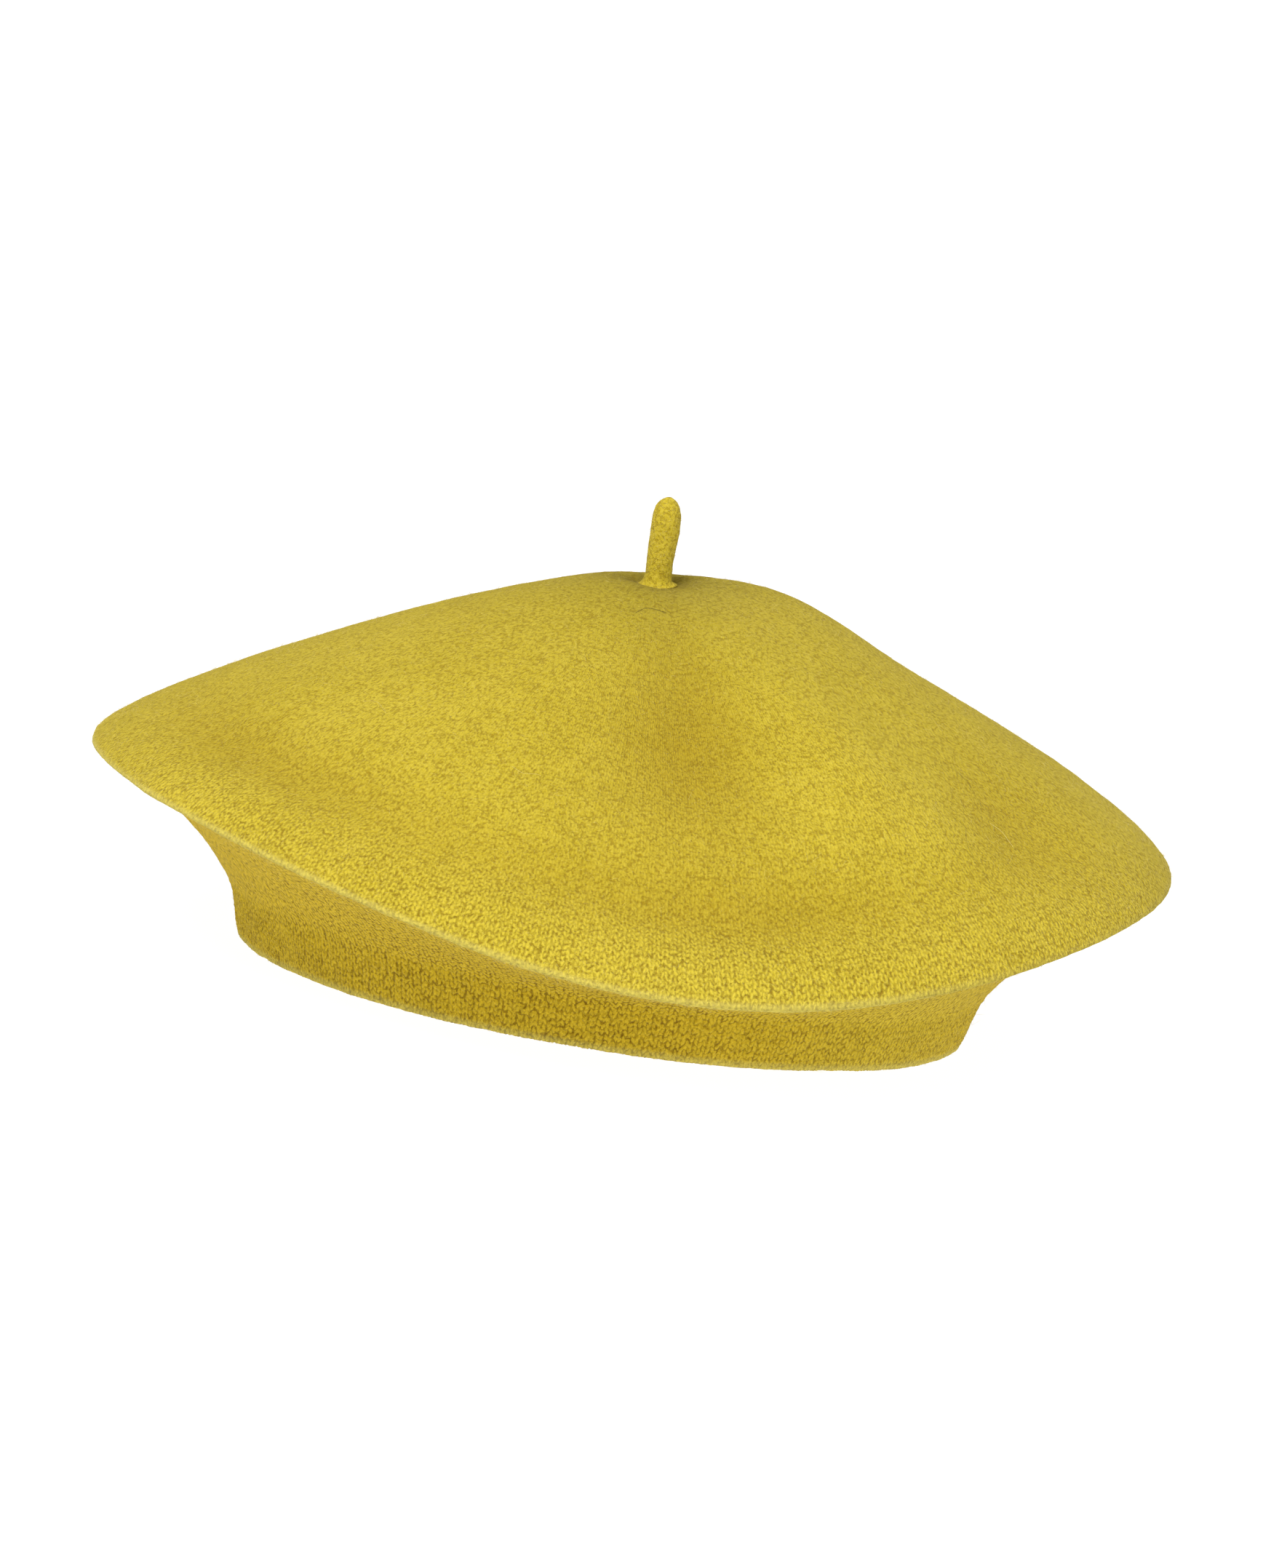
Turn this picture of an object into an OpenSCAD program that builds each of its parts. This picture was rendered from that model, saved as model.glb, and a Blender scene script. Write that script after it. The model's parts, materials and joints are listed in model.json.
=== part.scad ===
// Fulled wool knit beret with a stalk, standing upright on its headband, +Z up.
// The origin is the middle of the headband's opening, on the surface that the hat stands on.
// The viewer's side is -Y. Angles run round the hat from +X towards +Y.

/* [Felt] */
// Thickness of the fulled knit
felt = 2; // [1.4:0.1:3]
// Clearance between pieces that lie on each other without being sewn face to face
rest_gap = 0.3; // [0.2:0.05:0.5]

/* [Headband] */
// Radius of the opening that the head goes into
head_r = 90; // [78:0.5:108]
// Height of the headband, up to where the underside of the crown begins
band_h = 15; // [14:0.5:30]
// How much further out the headband's top is than its bottom
band_flare = 4; // [1:0.5:8]
// Rounding of the headband's bottom edge
hem_edge = 1.4; // [0.8:0.1:1.8]

/* [Elastic] */
// Thickness of the elastic in the hem's tunnel
elastic_t = 0.6; // [0.4:0.1:1]
// Width of the elastic
elastic_w = 6; // [4:0.5:8]
// Free space on each side of the elastic
elastic_gap = 0.2; // [0.1:0.05:0.5]

/* [Crown] */
// Radius of the crown at its fold line
disc_r = 140; // [128:1:170]
// How far the crown sits over towards +X on the headband
disc_shift = 1.2; // [-2:0.1:2]
// How far the crown's middle, with its stalk, sits over towards +X
middle_shift = -1.8; // [-3:0.1:3]
// Height of the crown's middle, apart from the dimple that the stalk stands in
apex_h = 109; // [90:1:135]
// Depth of that dimple
dimple = 4.6; // [0:0.2:6]
// Radius of that dimple
dimple_r = 9; // [5:0.5:14]
// Height of the fold line all round, before it leans and droops
rim_h = 49; // [42:0.5:60]
// How much the fold line leans up towards +X
rim_lean = 4; // [0:0.5:8]
// How far the fold line droops at the front
droop_depth = 26.5; // [0:0.5:30]
// Where round the hat the droop is deepest, in degrees
droop_angle = 281; // [240:1:300]
// Width of the droop, in degrees
droop_width = 47; // [30:1:70]
// How far the top of the soft roll stands above the fold line
rim_puff = 5; // [4.5:0.5:10]
// How much fuller that roll is towards +X
puff_lean = 1; // [0:0.5:1.5]
// How far the underside drops away below the fold line
tuck = 2; // [1.5:0.5:6]

/* [Stalk] */
// Length of the stalk above the crown
stalk_len = 23; // [12:0.5:40]
// Diameter of the stalk at its waist
stalk_d = 6.6; // [5:0.1:9]
// Diameter of the stalk near its tip
stalk_tip_d = 7.2; // [5:0.1:10]
// How much wider the stalk's round lower end is than its waist, all round
base_flare = 0.4; // [0.1:0.1:0.8]
// Diameter of the sewn-down end of the stalk inside the crown
root_d = 15; // [11:0.5:22]
// Clearance of the stalk's tail in the crown's centre hole, all round
root_gap = 0.2; // [0.1:0.05:0.5]

/* [Care label] */
// Width of the care label, along the hem
label_w = 22; // [14:1:34]
// Length of the folded care label, away from the hem
label_l = 24; // [14:1:30]
// Thickness of the label, folded double
label_t = 0.8; // [0.4:0.1:1.2]
// Where round the hat the label is sewn, in degrees
label_angle = 90; // [70:1:110]

/* [Thread] */
// Diameter of the sewing thread
thread_d = 0.8; // [0.5:0.1:1.2]
// Length of one stitch
stitch_l = 4.5; // [3:0.5:6]
// Distance from one overcast stitch to the next, along the hem
stitch_pitch = 11; // [7:0.5:20]
// Distance from one linking stitch to the next, along the knit's joining seam
seam_pitch = 7; // [5:0.5:14]
// Where round the hat the knit's joining seam runs, in degrees
seam_angle = 60; // [30:1:70]

/* [Hidden] */
$fn = 96;

yellow = [0.80, 0.71, 0.24];
shade_yellow = [0.68, 0.56, 0.16];
thread_yellow = [0.74, 0.62, 0.20];
white = [0.92, 0.91, 0.87];
off_white = [0.85, 0.84, 0.80];

// The crown is computed on a grid: so many steps round, and so many from its middle to its fold line
round_steps = 72;
top_steps = 18;
under_steps = 8;

// Headband
tunnel = elastic_t + 2 * elastic_gap;
band_r = head_r + felt + tunnel + felt;
band_top_r = band_r + band_flare;
flat_edge = hem_edge + felt / 2;
hem_face = felt + tunnel / 2 + elastic_w + elastic_gap + felt / 2;

// Stalk, with its pivot at the centre of its round lower end
root_tail_r = stalk_d / 2 - rest_gap;
hole_r = root_tail_r + root_gap;
stalk_base_r = stalk_d / 2 + base_flare;
root_share = root_d / 2 / disc_r;

// Shapes of the crown. Distances from the middle are shares of disc_r, from 0 to 1 at the fold line.
roll_power = 10;
fold_fade = 20;
cone_power = 1.38;
cone_lean = 0.08;
under_power = 1.75;
hole_share = hole_r / disc_r;
band_share = band_top_r / disc_r;

// Each soft dent or swelling of the crown: angle, share, width in degrees, width in shares, height.
// The last one is the dimple, which goes all round.
// They fade out at the fold line, where the crown meets its underside.
FOLDS = [
    [280, 0.50, 15, 0.24, -4.6],
    [287, 0.85, 28, 0.07, -3.4],
    [218, 0.84, 28, 0.07, -3.4],
    [309, 0.62, 12, 0.22, 3.0],
    [331, 0.78, 11, 0.14, -2.8],
    [22, 0.27, 50, 0.16, 4.2],
    [0, 0, 3600, dimple_r / disc_r, -dimple],
];

function turn_back(d) = d - 360 * round(d / 360);
function bell(d, w) = exp(-pow(d / w, 2));

// The fold line's height, its fullness and the crown's profile at an angle
function rim_z(a) = rim_h + rim_lean * cos(a) - droop_depth * bell(turn_back(a - droop_angle), droop_width);
function puff(a) = rim_puff + puff_lean * cos(a);
function profile_power(a) = cone_power + cone_lean * cos(a);
function roll(s) = sqrt(max(0, 1 - pow(s, roll_power)));
function folds(a, s) = (1 - pow(s, fold_fade)) * [for (f = FOLDS) f[4]]
    * [for (f = FOLDS) bell(turn_back(a - f[0]), f[2]) * bell(s - f[1], f[3])];

// A point of the crown's top at an angle and share; inset goes through the felt from outside to inside
function crown_point(a, s, inset) =
    let (r = (disc_r - inset) * s,
         rise = apex_h - puff(a) - rim_z(a),
         z = rim_z(a) + rise * (1 - pow(s, profile_power(a)))
             + (puff(a) - inset * 1.15) * roll(s) + folds(a, s))
    [middle_shift + (disc_shift - middle_shift) * s + r * cos(a), r * sin(a), z];

// Shares from the stalk's hole to the fold line, closer together towards both
function top_share(k) = hole_share + (1 - hole_share) * (1 - cos(180 * k / top_steps)) / 2;

// A point of the crown's underside at an angle; t runs from the headband at 0 to the fold line at 1
function under_point(a, t, inset) =
    let (s = band_share + (1 - band_share) * (1 - pow(1 - t, 2)),
         drop = rim_z(a) - tuck * roll(band_share) - band_h,
         lift = min(1, sin(min(90, 300 * t))) * 1.15,
         r = disc_r * s - inset * (1 - 0.5 * sin(180 * t)),
         z = rim_z(a) - (tuck - inset * lift) * roll(s)
             - drop * pow(max(0, 1 - (s - band_share) / (1 - band_share)), under_power),
         shift = disc_shift * (s - band_share) / (1 - band_share))
    [shift + r * cos(a), r * sin(a), z];

// The crown's highest point round the stalk's hole, and the lowest point of its inner face over the
// spread end of the stalk
foot_z = max([for (i = [0:round_steps - 1]) crown_point(i * 360 / round_steps, hole_share, 0)[2]]);
root_top_z = min([for (i = [0:round_steps - 1], k = [0:top_steps])
    if (k == 0 || top_share(k - 1) < root_share)
        crown_point(i * 360 / round_steps, top_share(k), felt)[2]]) - root_gap;
pivot_z = foot_z + stalk_base_r + rest_gap;

// Closed ring of felt: at each angle a closed section, whose points are joined to the next section's
// Two rings that share an edge face split it along the same diagonal, so that they meet face to face.
function ring_faces(sections, points, other_diagonal) = [
    for (i = [0:sections - 1], j = [0:points - 1])
        let (i2 = (i + 1) % sections, j2 = (j + 1) % points,
             p = i * points + j, q = i2 * points + j, r = i2 * points + j2, s = i * points + j2)
        each other_diagonal ? [[p, q, s], [q, r, s]] : [[p, q, r], [p, r, s]]
];

module felt_ring(sections, other_diagonal = false) {
    polyhedron(
        points = [for (section = sections) each section],
        faces = ring_faces(len(sections), len(sections[0]), other_diagonal),
        convexity = 6
    );
}

module crown_top() {
    color(yellow)
    felt_ring([for (i = [0:round_steps - 1])
        let (a = i * 360 / round_steps)
        concat(
            [for (k = [top_steps:-1:0]) crown_point(a, top_share(k), 0)],
            [for (k = [0:top_steps]) crown_point(a, top_share(k), felt)]
        )]);
}

module crown_underside() {
    color(shade_yellow)
    felt_ring([for (i = [0:round_steps - 1])
        let (a = i * 360 / round_steps)
        concat(
            [for (k = [0:under_steps]) under_point(a, k / under_steps, 0)],
            [for (k = [under_steps:-1:0]) under_point(a, k / under_steps, felt)]
        )], other_diagonal = true);
}

// Points of a quarter circle about a centre, from one angle to another
function arc(centre, r, from, to) = [
    for (k = [0:6])
        let (a = from + (to - from) * k / 6)
        centre + r * [cos(a), sin(a)]
];

// The doubled headband: an outer wall that leans out, and the hem turned up inside it to form a tunnel
module headband() {
    wall_in_r = band_top_r - felt;
    color(shade_yellow)
    rotate_extrude()
    difference() {
        polygon(concat(
            arc([head_r + flat_edge, flat_edge], flat_edge, 180, 270),
            arc([band_r - hem_edge, hem_edge], hem_edge, 270, 360),
            [[band_top_r, band_h], [wall_in_r, band_h], [head_r, hem_face]]
        ));
        polygon(concat(
            arc([head_r + felt + tunnel / 2, felt + tunnel / 2], tunnel / 2, 180, 360),
            [[wall_in_r - felt / 2, band_h - felt], [head_r + felt, hem_face - felt / 2]]
        ));
    }
}

// Elastic that lies loose in the hem's tunnel
module hem_elastic() {
    color(off_white)
    translate([0, 0, felt + tunnel / 2])
    rotate_extrude()
        translate([head_r + felt + elastic_gap, 0])
            square([elastic_t, elastic_w]);
}

// A straight stitch of thread, centred where it is placed and lying along X
module stitch(length) {
    rotate([0, 90, 0]) cylinder(h = length, d = thread_d, center = true, $fn = 16);
}

// Overcast stitches that hold the hem's upper edge to the inside of the headband
module hem_stitches() {
    count = round(2 * PI * head_r / stitch_pitch);
    edge_slope = atan2(band_h - hem_face, band_top_r - felt - head_r);
    reach = norm([band_h - hem_face, band_top_r - felt - head_r]) / 2;
    color(thread_yellow)
    for (i = [0:count - 1])
        rotate(i * 360 / count)
            translate([head_r, 0, hem_face])
                rotate([0, -edge_slope, 0])
                    translate([reach, 0, thread_d * 0.65])
                        rotate(i % 2 == 0 ? 15 : -15)
                            stitch(stitch_l);
}

// Linking stitches across the knit's joining seam, inside, from the stalk out to the fold line
// and back along the underside
module seam_stitch(point) {
    translate(point) rotate(seam_angle + 90) stitch(stitch_l);
}

module body_seam() {
    seam_drop = thread_d * 1.3;
    seam_end_share = 0.84;
    top_count = floor((disc_r - root_d) / seam_pitch) - 1;
    under_count = floor((disc_r - band_top_r) / seam_pitch) - 1;
    color(thread_yellow) {
        for (i = [1:top_count]) {
            share = (root_d / 2 + i * seam_pitch) / disc_r;
            if (share < seam_end_share)
                seam_stitch(crown_point(seam_angle, share, felt) - [0, 0, seam_drop]);
        }
        for (i = [1:under_count])
            seam_stitch(under_point(seam_angle, i / (under_count + 2), felt) + [0, 0, seam_drop]);
    }
}

// The free part of the stalk, a felted cord with a round tip and a ball-shaped lower end
module stalk() {
    tip_r = stalk_tip_d / 2;
    top = foot_z + stalk_len;
    color(yellow)
    translate([middle_shift, 0, 0])
    rotate_extrude()
    intersection() {
        translate([0, foot_z]) square([stalk_d * 2, stalk_len]);
        union() {
            translate([0, pivot_z]) circle(r = stalk_base_r, $fn = 48);
            translate([0, top - tip_r]) circle(r = tip_r, $fn = 48);
            polygon([
                [0, pivot_z], [stalk_base_r, pivot_z], [stalk_d / 2, pivot_z + stalk_len * 0.25],
                [tip_r, top - tip_r], [0, top - tip_r]
            ]);
        }
    }
}

// The sewn end of the stalk: it passes through the hole in the crown and is spread flat inside
module stalk_root() {
    color(yellow)
    translate([middle_shift, 0, 0])
    union() {
        translate([0, 0, root_top_z - felt]) cylinder(h = felt, d = root_d);
        translate([0, 0, root_top_z - felt]) cylinder(h = foot_z - root_top_z + felt, r = root_tail_r);
    }
}

// Stitches round the spread end of the stalk, up into the crown
module stalk_stitches() {
    count = 8;
    color(thread_yellow)
    translate([middle_shift, 0, 0])
    for (i = [0:count - 1])
        rotate(i * 360 / count)
            translate([root_d / 2 - stitch_l * 0.3, 0, root_top_z - felt - thread_d / 2])
                stitch(stitch_l);
}

// Where the care label is sewn, and the least slope at which it clears the underside that it rests on
label_seat = under_point(label_angle, 0, felt);
label_pivot_r = norm([label_seat[0], label_seat[1]]) - 1;
label_pivot_z = band_h + 1.6;
label_slope = max([for (k = [1:16])
    let (p = under_point(label_angle, k / 50, felt),
         out = sqrt(p[0] * p[0] + p[1] * p[1] - pow(label_w / 2, 2)) - label_pivot_r,
         up = p[2] - label_pivot_z)
    if (out > 3 && out < label_l) atan2(up, out) + asin((label_t / 2 + rest_gap) / norm([out, up]))]);

// Places children at the label's pivot, with X pointing along the resting label and Y along the hem
module at_label() {
    rotate(label_angle)
        translate([label_pivot_r, 0, label_pivot_z])
            rotate([0, -label_slope, 0])
                children();
}

// A blank woven label, folded double, its free end resting on the underside of the crown
module care_label() {
    color(white)
    at_label()
        translate([thread_d / 2, -label_w / 2, -label_t / 2])
            cube([label_l, label_w, label_t]);
}

// Stitches along the sewn edge of the label
module label_stitches() {
    count = max(2, floor(label_w / stitch_l));
    color(thread_yellow)
    at_label()
        for (i = [0:count - 1])
            translate([0, (i - (count - 1) / 2) * label_w / count, 0])
                rotate(90) stitch(stitch_l * 0.8);
}

crown_top();
crown_underside();
headband();
hem_elastic();
hem_stitches();
body_seam();
stalk();
stalk_root();
stalk_stitches();
care_label();
label_stitches();
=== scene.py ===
"""Visual model of a fulled wool knit beret with a stalk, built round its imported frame.

The hat stands upright on its headband, +Z up, with the viewer on the -Y side. Shapes are worked out in
millimetres and turned into metres when a mesh is made. Angles run round the hat from +X towards +Y.
"""

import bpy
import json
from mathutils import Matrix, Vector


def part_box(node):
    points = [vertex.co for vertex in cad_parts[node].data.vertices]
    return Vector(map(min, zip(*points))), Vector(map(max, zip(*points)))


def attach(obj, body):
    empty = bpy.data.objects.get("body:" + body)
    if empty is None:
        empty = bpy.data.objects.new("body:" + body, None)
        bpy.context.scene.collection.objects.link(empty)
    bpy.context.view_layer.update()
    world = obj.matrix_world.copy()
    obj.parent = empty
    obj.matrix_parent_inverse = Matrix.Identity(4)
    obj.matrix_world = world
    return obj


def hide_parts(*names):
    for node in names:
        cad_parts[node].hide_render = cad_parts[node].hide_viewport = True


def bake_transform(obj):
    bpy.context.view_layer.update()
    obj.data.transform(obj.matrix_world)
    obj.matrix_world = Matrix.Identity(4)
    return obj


bl_info = {
    "name": "Fulled Knit Beret",
    "version": (1, 0, 0),
    "blender": (4, 5, 0),
    "location": "View3D > Sidebar > Beret",
    "description": "Builds a fulled wool knit beret with its stalk, headband, sewing and loose fibres",
    "category": "Add Mesh",
}

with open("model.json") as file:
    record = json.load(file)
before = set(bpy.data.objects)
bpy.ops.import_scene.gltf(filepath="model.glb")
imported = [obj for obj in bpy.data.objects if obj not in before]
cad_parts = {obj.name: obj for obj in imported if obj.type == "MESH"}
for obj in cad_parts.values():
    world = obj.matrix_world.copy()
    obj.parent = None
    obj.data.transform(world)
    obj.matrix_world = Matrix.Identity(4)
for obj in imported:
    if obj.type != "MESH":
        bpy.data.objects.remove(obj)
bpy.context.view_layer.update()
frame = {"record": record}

import json
import math

import bpy
import numpy as np
from bpy.props import FloatProperty, FloatVectorProperty, IntProperty, PointerProperty
from mathutils import Matrix, Vector

MM = 0.001
STALK_HINGE = next(j for j in frame["record"]["behaviour"]["joints"] if j["name"] == "stalk_flex")

# The crown's shape, as the frame has it, in millimetres
FELT = 2.0
DISC_R = 140.0
MIDDLE_SHIFT = -1.8
DISC_SHIFT = 1.2
APEX_H = 109.0
RIM_H = 49.0
RIM_LEAN = 4.0
DROOP_DEPTH = 26.5
DROOP_ANGLE = 281.0
DROOP_WIDTH = 47.0
RIM_PUFF = 5.0
PUFF_LEAN = 1.0
TUCK = 2.0
BAND_H = 15.0
HEAD_R = 90.0
BAND_R = 95.0
BAND_TOP_R = 99.0
HEM_EDGE = 1.4
FLAT_EDGE = 2.4
HEM_FACE = 9.7
HOLE_R = 3.2
STALK_FOOT_Z = 105.1

# Soft dents and swellings: angle, share of the radius, width in degrees, width in shares, height
FOLDS = (
    (280, 0.50, 15, 0.24, -4.6),
    (287, 0.85, 28, 0.07, -3.4),
    (218, 0.84, 28, 0.07, -3.4),
    (309, 0.62, 12, 0.22, 3.0),
    (331, 0.78, 11, 0.14, -2.8),
    (22, 0.27, 50, 0.16, 4.2),
    (0, 0.0, 3600, 9 / 140, -4.6),
)

FINE = 1280  # points round the hat outside the middle of the crown
COARSE = 320  # points round the hat on the faces that lie inside it
INNER_ROW = 2.2  # spacing of the rows inside
CORNER_ROWS = 10.0  # how far, in rows, the rounding of the headband's upper edge reaches
CORNER_PASSES = 90
CORNER_PULL = 0.5
BAND_WALES = 270  # columns of stitches round the headband and the underside
CROWN_WALES = 390  # columns of stitches round the crown's top
COURSE = 1.6  # height of one row of stitches

# Sewing, stalk, elastic, label and floor: millimetres, degrees or counts
STITCH_LENGTH = 4.5
HEM_PITCH = 11
SEAM_PITCH = 7
SEAM_START = 7.5
SEAM_END_SHARE = 0.84
SEAM_ANGLE = 60.0
ROOT_STITCHES = 8
ROOT_STITCH_R = 6.15
STALK_SIDES = 72
STALK_ROOT_SIDES = 96
ELASTIC_THICKNESS = 0.6
ELASTIC_SIDES = 960
ELASTIC_ROWS = 25
LABEL_COLUMNS = 27
FLOOR_HALF = 15000.0
FLOOR_DROP = 0.3


# ---------------------------------------------------------------- shapes of the hat


def turn_back(angle):
    return angle - 360 * np.round(angle / 360)


def bell(distance, width):
    return np.exp(-((distance / width) ** 2))


def ramp(value, low, high):
    """0 below low, 1 above high, and smooth between them."""
    t = np.clip((value - low) / (high - low), 0, 1)
    return t * t * (3 - 2 * t)


def rim_height(angle):
    lean = RIM_LEAN * np.cos(np.radians(angle))
    return RIM_H + lean - DROOP_DEPTH * bell(turn_back(angle - DROOP_ANGLE), DROOP_WIDTH)


def roll(share):
    return np.sqrt(np.clip(1 - share**10, 0, 1))


def folds(angle, share):
    height = 0 * angle * share
    for at, out, wide, deep, rise in FOLDS:
        height = height + rise * bell(turn_back(angle - at), wide) * bell(share - out, deep)
    return (1 - share**20) * height


def crown_point(angle, share, inset=0.0):
    """A point of the crown's top; inset goes through the felt from outside to inside."""
    turn = np.radians(angle)
    puff = RIM_PUFF + PUFF_LEAN * np.cos(turn)
    rim = rim_height(angle)
    rise = APEX_H - puff - rim
    power = 1.38 + 0.08 * np.cos(turn)
    z = rim + rise * (1 - share**power) + (puff - inset * 1.15) * roll(share) + folds(angle, share)
    r = (DISC_R - inset) * share
    x = MIDDLE_SHIFT + (DISC_SHIFT - MIDDLE_SHIFT) * share + r * np.cos(turn)
    return np.stack(np.broadcast_arrays(x, r * np.sin(turn), z), -1)


def under_point(angle, along, inset=0.0):
    """A point of the crown's underside; along runs from the headband at 0 to the fold line at 1."""
    turn = np.radians(angle)
    start = BAND_TOP_R / DISC_R
    share = start + (1 - start) * (1 - (1 - along) ** 2)
    rim = rim_height(angle)
    drop = rim - TUCK * roll(start) - BAND_H
    lift = np.minimum(1, np.sin(np.radians(np.minimum(90, 300 * along)))) * 1.15
    r = DISC_R * share - inset * (1 - 0.5 * np.sin(np.radians(180 * along)))
    out = (share - start) / (1 - start)
    fall = drop * np.maximum(0, 1 - out) ** 1.75
    z = rim - (TUCK - inset * lift) * roll(share) - fall
    return np.stack(np.broadcast_arrays(DISC_SHIFT * out + r * np.cos(turn), r * np.sin(turn), z), -1)


def arc(centre, radius, start, end, steps):
    turn = np.radians(np.linspace(start, end, steps))
    return np.stack([centre[0] + radius * np.cos(turn), centre[1] + radius * np.sin(turn)], -1)


def even_steps(path, spacing):
    """The places along a path of points, as shares of its own parameter, that lie evenly apart."""
    run = np.concatenate([[0], np.cumsum(np.linalg.norm(np.diff(path, axis=0), axis=1))])
    count = max(2, int(round(run[-1] / spacing)))
    places = np.interp(np.linspace(0, run[-1], count + 1), run, np.arange(len(path)))
    return places / (len(path) - 1)


def along_path(path, spacing):
    """Points that lie evenly apart along a path."""
    places = even_steps(path, spacing) * (len(path) - 1)
    return np.stack([np.interp(places, np.arange(len(path)), path[:, k]) for k in range(path.shape[1])], -1)


def ring_of(profile, count):
    """Rows of points round the hat for each (radius, height) of a profile."""
    turn = np.radians(np.arange(count) * 360 / count)
    r = profile[:, 0][:, None]
    z = np.broadcast_to(profile[:, 1][:, None], (len(profile), count))
    return np.stack([r * np.cos(turn), r * np.sin(turn), z], -1)


class Scatter:
    """Smooth random values in space, the same each time for the same seed."""

    def __init__(self, seed, cells=48):
        self.cells = cells
        self.table = np.random.default_rng(seed).random((cells, cells, cells)) * 2 - 1

    def at(self, points, cell):
        place = points / cell + 1000.37
        low = np.floor(place).astype(int)
        part = place - low
        part = part * part * (3 - 2 * part)
        total = np.zeros(points.shape[:-1])
        for dx in (0, 1):
            for dy in (0, 1):
                for dz in (0, 1):
                    weight = (
                        np.abs(1 - dx - part[..., 0])
                        * np.abs(1 - dy - part[..., 1])
                        * np.abs(1 - dz - part[..., 2])
                    )
                    corner = (low + (dx, dy, dz)) % self.cells
                    total += weight * self.table[corner[..., 0], corner[..., 1], corner[..., 2]]
        return total


LUMPS = Scatter(11)
CLUMPS = Scatter(23)
TUFTS = Scatter(37)


def felt_relief(points):
    """How far the fulled surface stands out, in millimetres, from its lumps, clumps and tufts."""
    lumps = 0.22 * LUMPS.at(points, 17.0)
    clumps = 0.09 * CLUMPS.at(points, 5.5)
    return lumps + clumps + 0.07 * TUFTS.at(points, 2.1)


def stitch_relief(wale, course):
    """Height of a V-shaped stitch from 0 to 1, for places counted in wales and courses."""
    side = np.abs(wale - np.floor(wale) - 0.5)
    slanted = course + side * 1.3
    strand = 1 - (2 * (slanted - np.floor(slanted)) - 1) ** 2
    leg = np.clip(1 - (side * 4 - 1) ** 2, 0, 1)
    return strand * leg


# ---------------------------------------------------------------- meshes


def make_mesh(name, points, faces, uvs=None, smooth=True):
    """A mesh from points in millimetres and arrays of faces, one array for each number of corners.

    uvs gives, for each map's name, arrays of corner coordinates in the same order as the faces.
    """
    mesh = bpy.data.meshes.new(name)
    corners = np.concatenate([f.ravel() for f in faces]).astype(np.int32)
    sizes = np.concatenate([np.full(len(f), f.shape[1]) for f in faces]).astype(np.int32)
    starts = np.concatenate([[0], np.cumsum(sizes)[:-1]]).astype(np.int32)
    mesh.vertices.add(len(points))
    mesh.vertices.foreach_set("co", (np.asarray(points) * MM).astype(np.float32).ravel())
    mesh.loops.add(len(corners))
    mesh.loops.foreach_set("vertex_index", corners)
    mesh.polygons.add(len(sizes))
    mesh.polygons.foreach_set("loop_start", starts)
    mesh.update(calc_edges=True)
    for title, arrays in (uvs or {}).items():
        layer = mesh.uv_layers.new(name=title)
        flat = np.concatenate([a.reshape(-1, 2) for a in arrays]).astype(np.float32)
        layer.data.foreach_set("uv", flat.ravel())
    mesh.polygons.foreach_set("use_smooth", np.full(len(sizes), smooth))
    return mesh


def set_values(mesh, name, values, kind="FLOAT"):
    """Stores one value, or one vector, for each point of a mesh."""
    attribute = mesh.attributes.new(name, kind, "POINT")
    key = "value" if kind == "FLOAT" else "vector"
    attribute.data.foreach_set(key, np.asarray(values, dtype=np.float32).ravel())


def add_object(name, mesh, material):
    if mesh.validate():
        raise RuntimeError(f"{name}: the mesh had faults")
    piece = bpy.data.objects.new(name, mesh)
    bpy.context.scene.collection.objects.link(piece)
    mesh.materials.append(material)
    return piece


def grid_faces(rows, count, first=0):
    """Quads between neighbouring rows of a closed grid, and each corner's row and column."""
    i, j = np.meshgrid(np.arange(rows - 1), np.arange(count), indexing="ij")
    i, j = i.ravel(), j.ravel()
    row = np.stack([i, i + 1, i + 1, i], -1)
    col = np.stack([j, j, j + 1, j + 1], -1)
    return first + row * count + col % count, row, col


def step_faces(fine_first, coarse_first, coarse, ratio):
    """Faces between a ring of points and one with fewer points, and each corner's turn round the ring."""
    i = np.arange(coarse)
    fine_cols = [i * ratio + k for k in range(ratio + 1)]
    fine = [fine_first + c % (coarse * ratio) for c in fine_cols]
    faces = np.stack([coarse_first + i, *fine, coarse_first + (i + 1) % coarse], -1)
    turns = np.stack([i / coarse, *[c / (coarse * ratio) for c in fine_cols], (i + 1) / coarse], -1)
    return faces, turns


def skin_normals(points, faces):
    """Normals at the points of an open skin."""
    mesh = make_mesh("skin", points, faces)
    normals = np.empty(len(points) * 3, dtype=np.float32)
    mesh.vertex_normals.foreach_get("vector", normals)
    bpy.data.meshes.remove(mesh)
    return normals.reshape(-1, 3)


def strip_uv(turn, across, strips, per_row, rect):
    """Lays a long closed strip out in a rectangle of a map, cut into shorter strips."""
    middle = turn.mean(axis=-1, keepdims=True)
    strip = np.floor(middle * strips).astype(int) % strips
    u = (strip % per_row + np.clip(turn * strips - np.floor(middle * strips), 0, 1) * 0.98 + 0.01) / per_row
    rows = strips // per_row
    v = (strip // per_row + np.broadcast_to(across, turn.shape) * 0.94 + 0.03) / rows
    return np.stack([rect[0] + u * (rect[2] - rect[0]), rect[1] + v * (rect[3] - rect[1])], -1)


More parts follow.
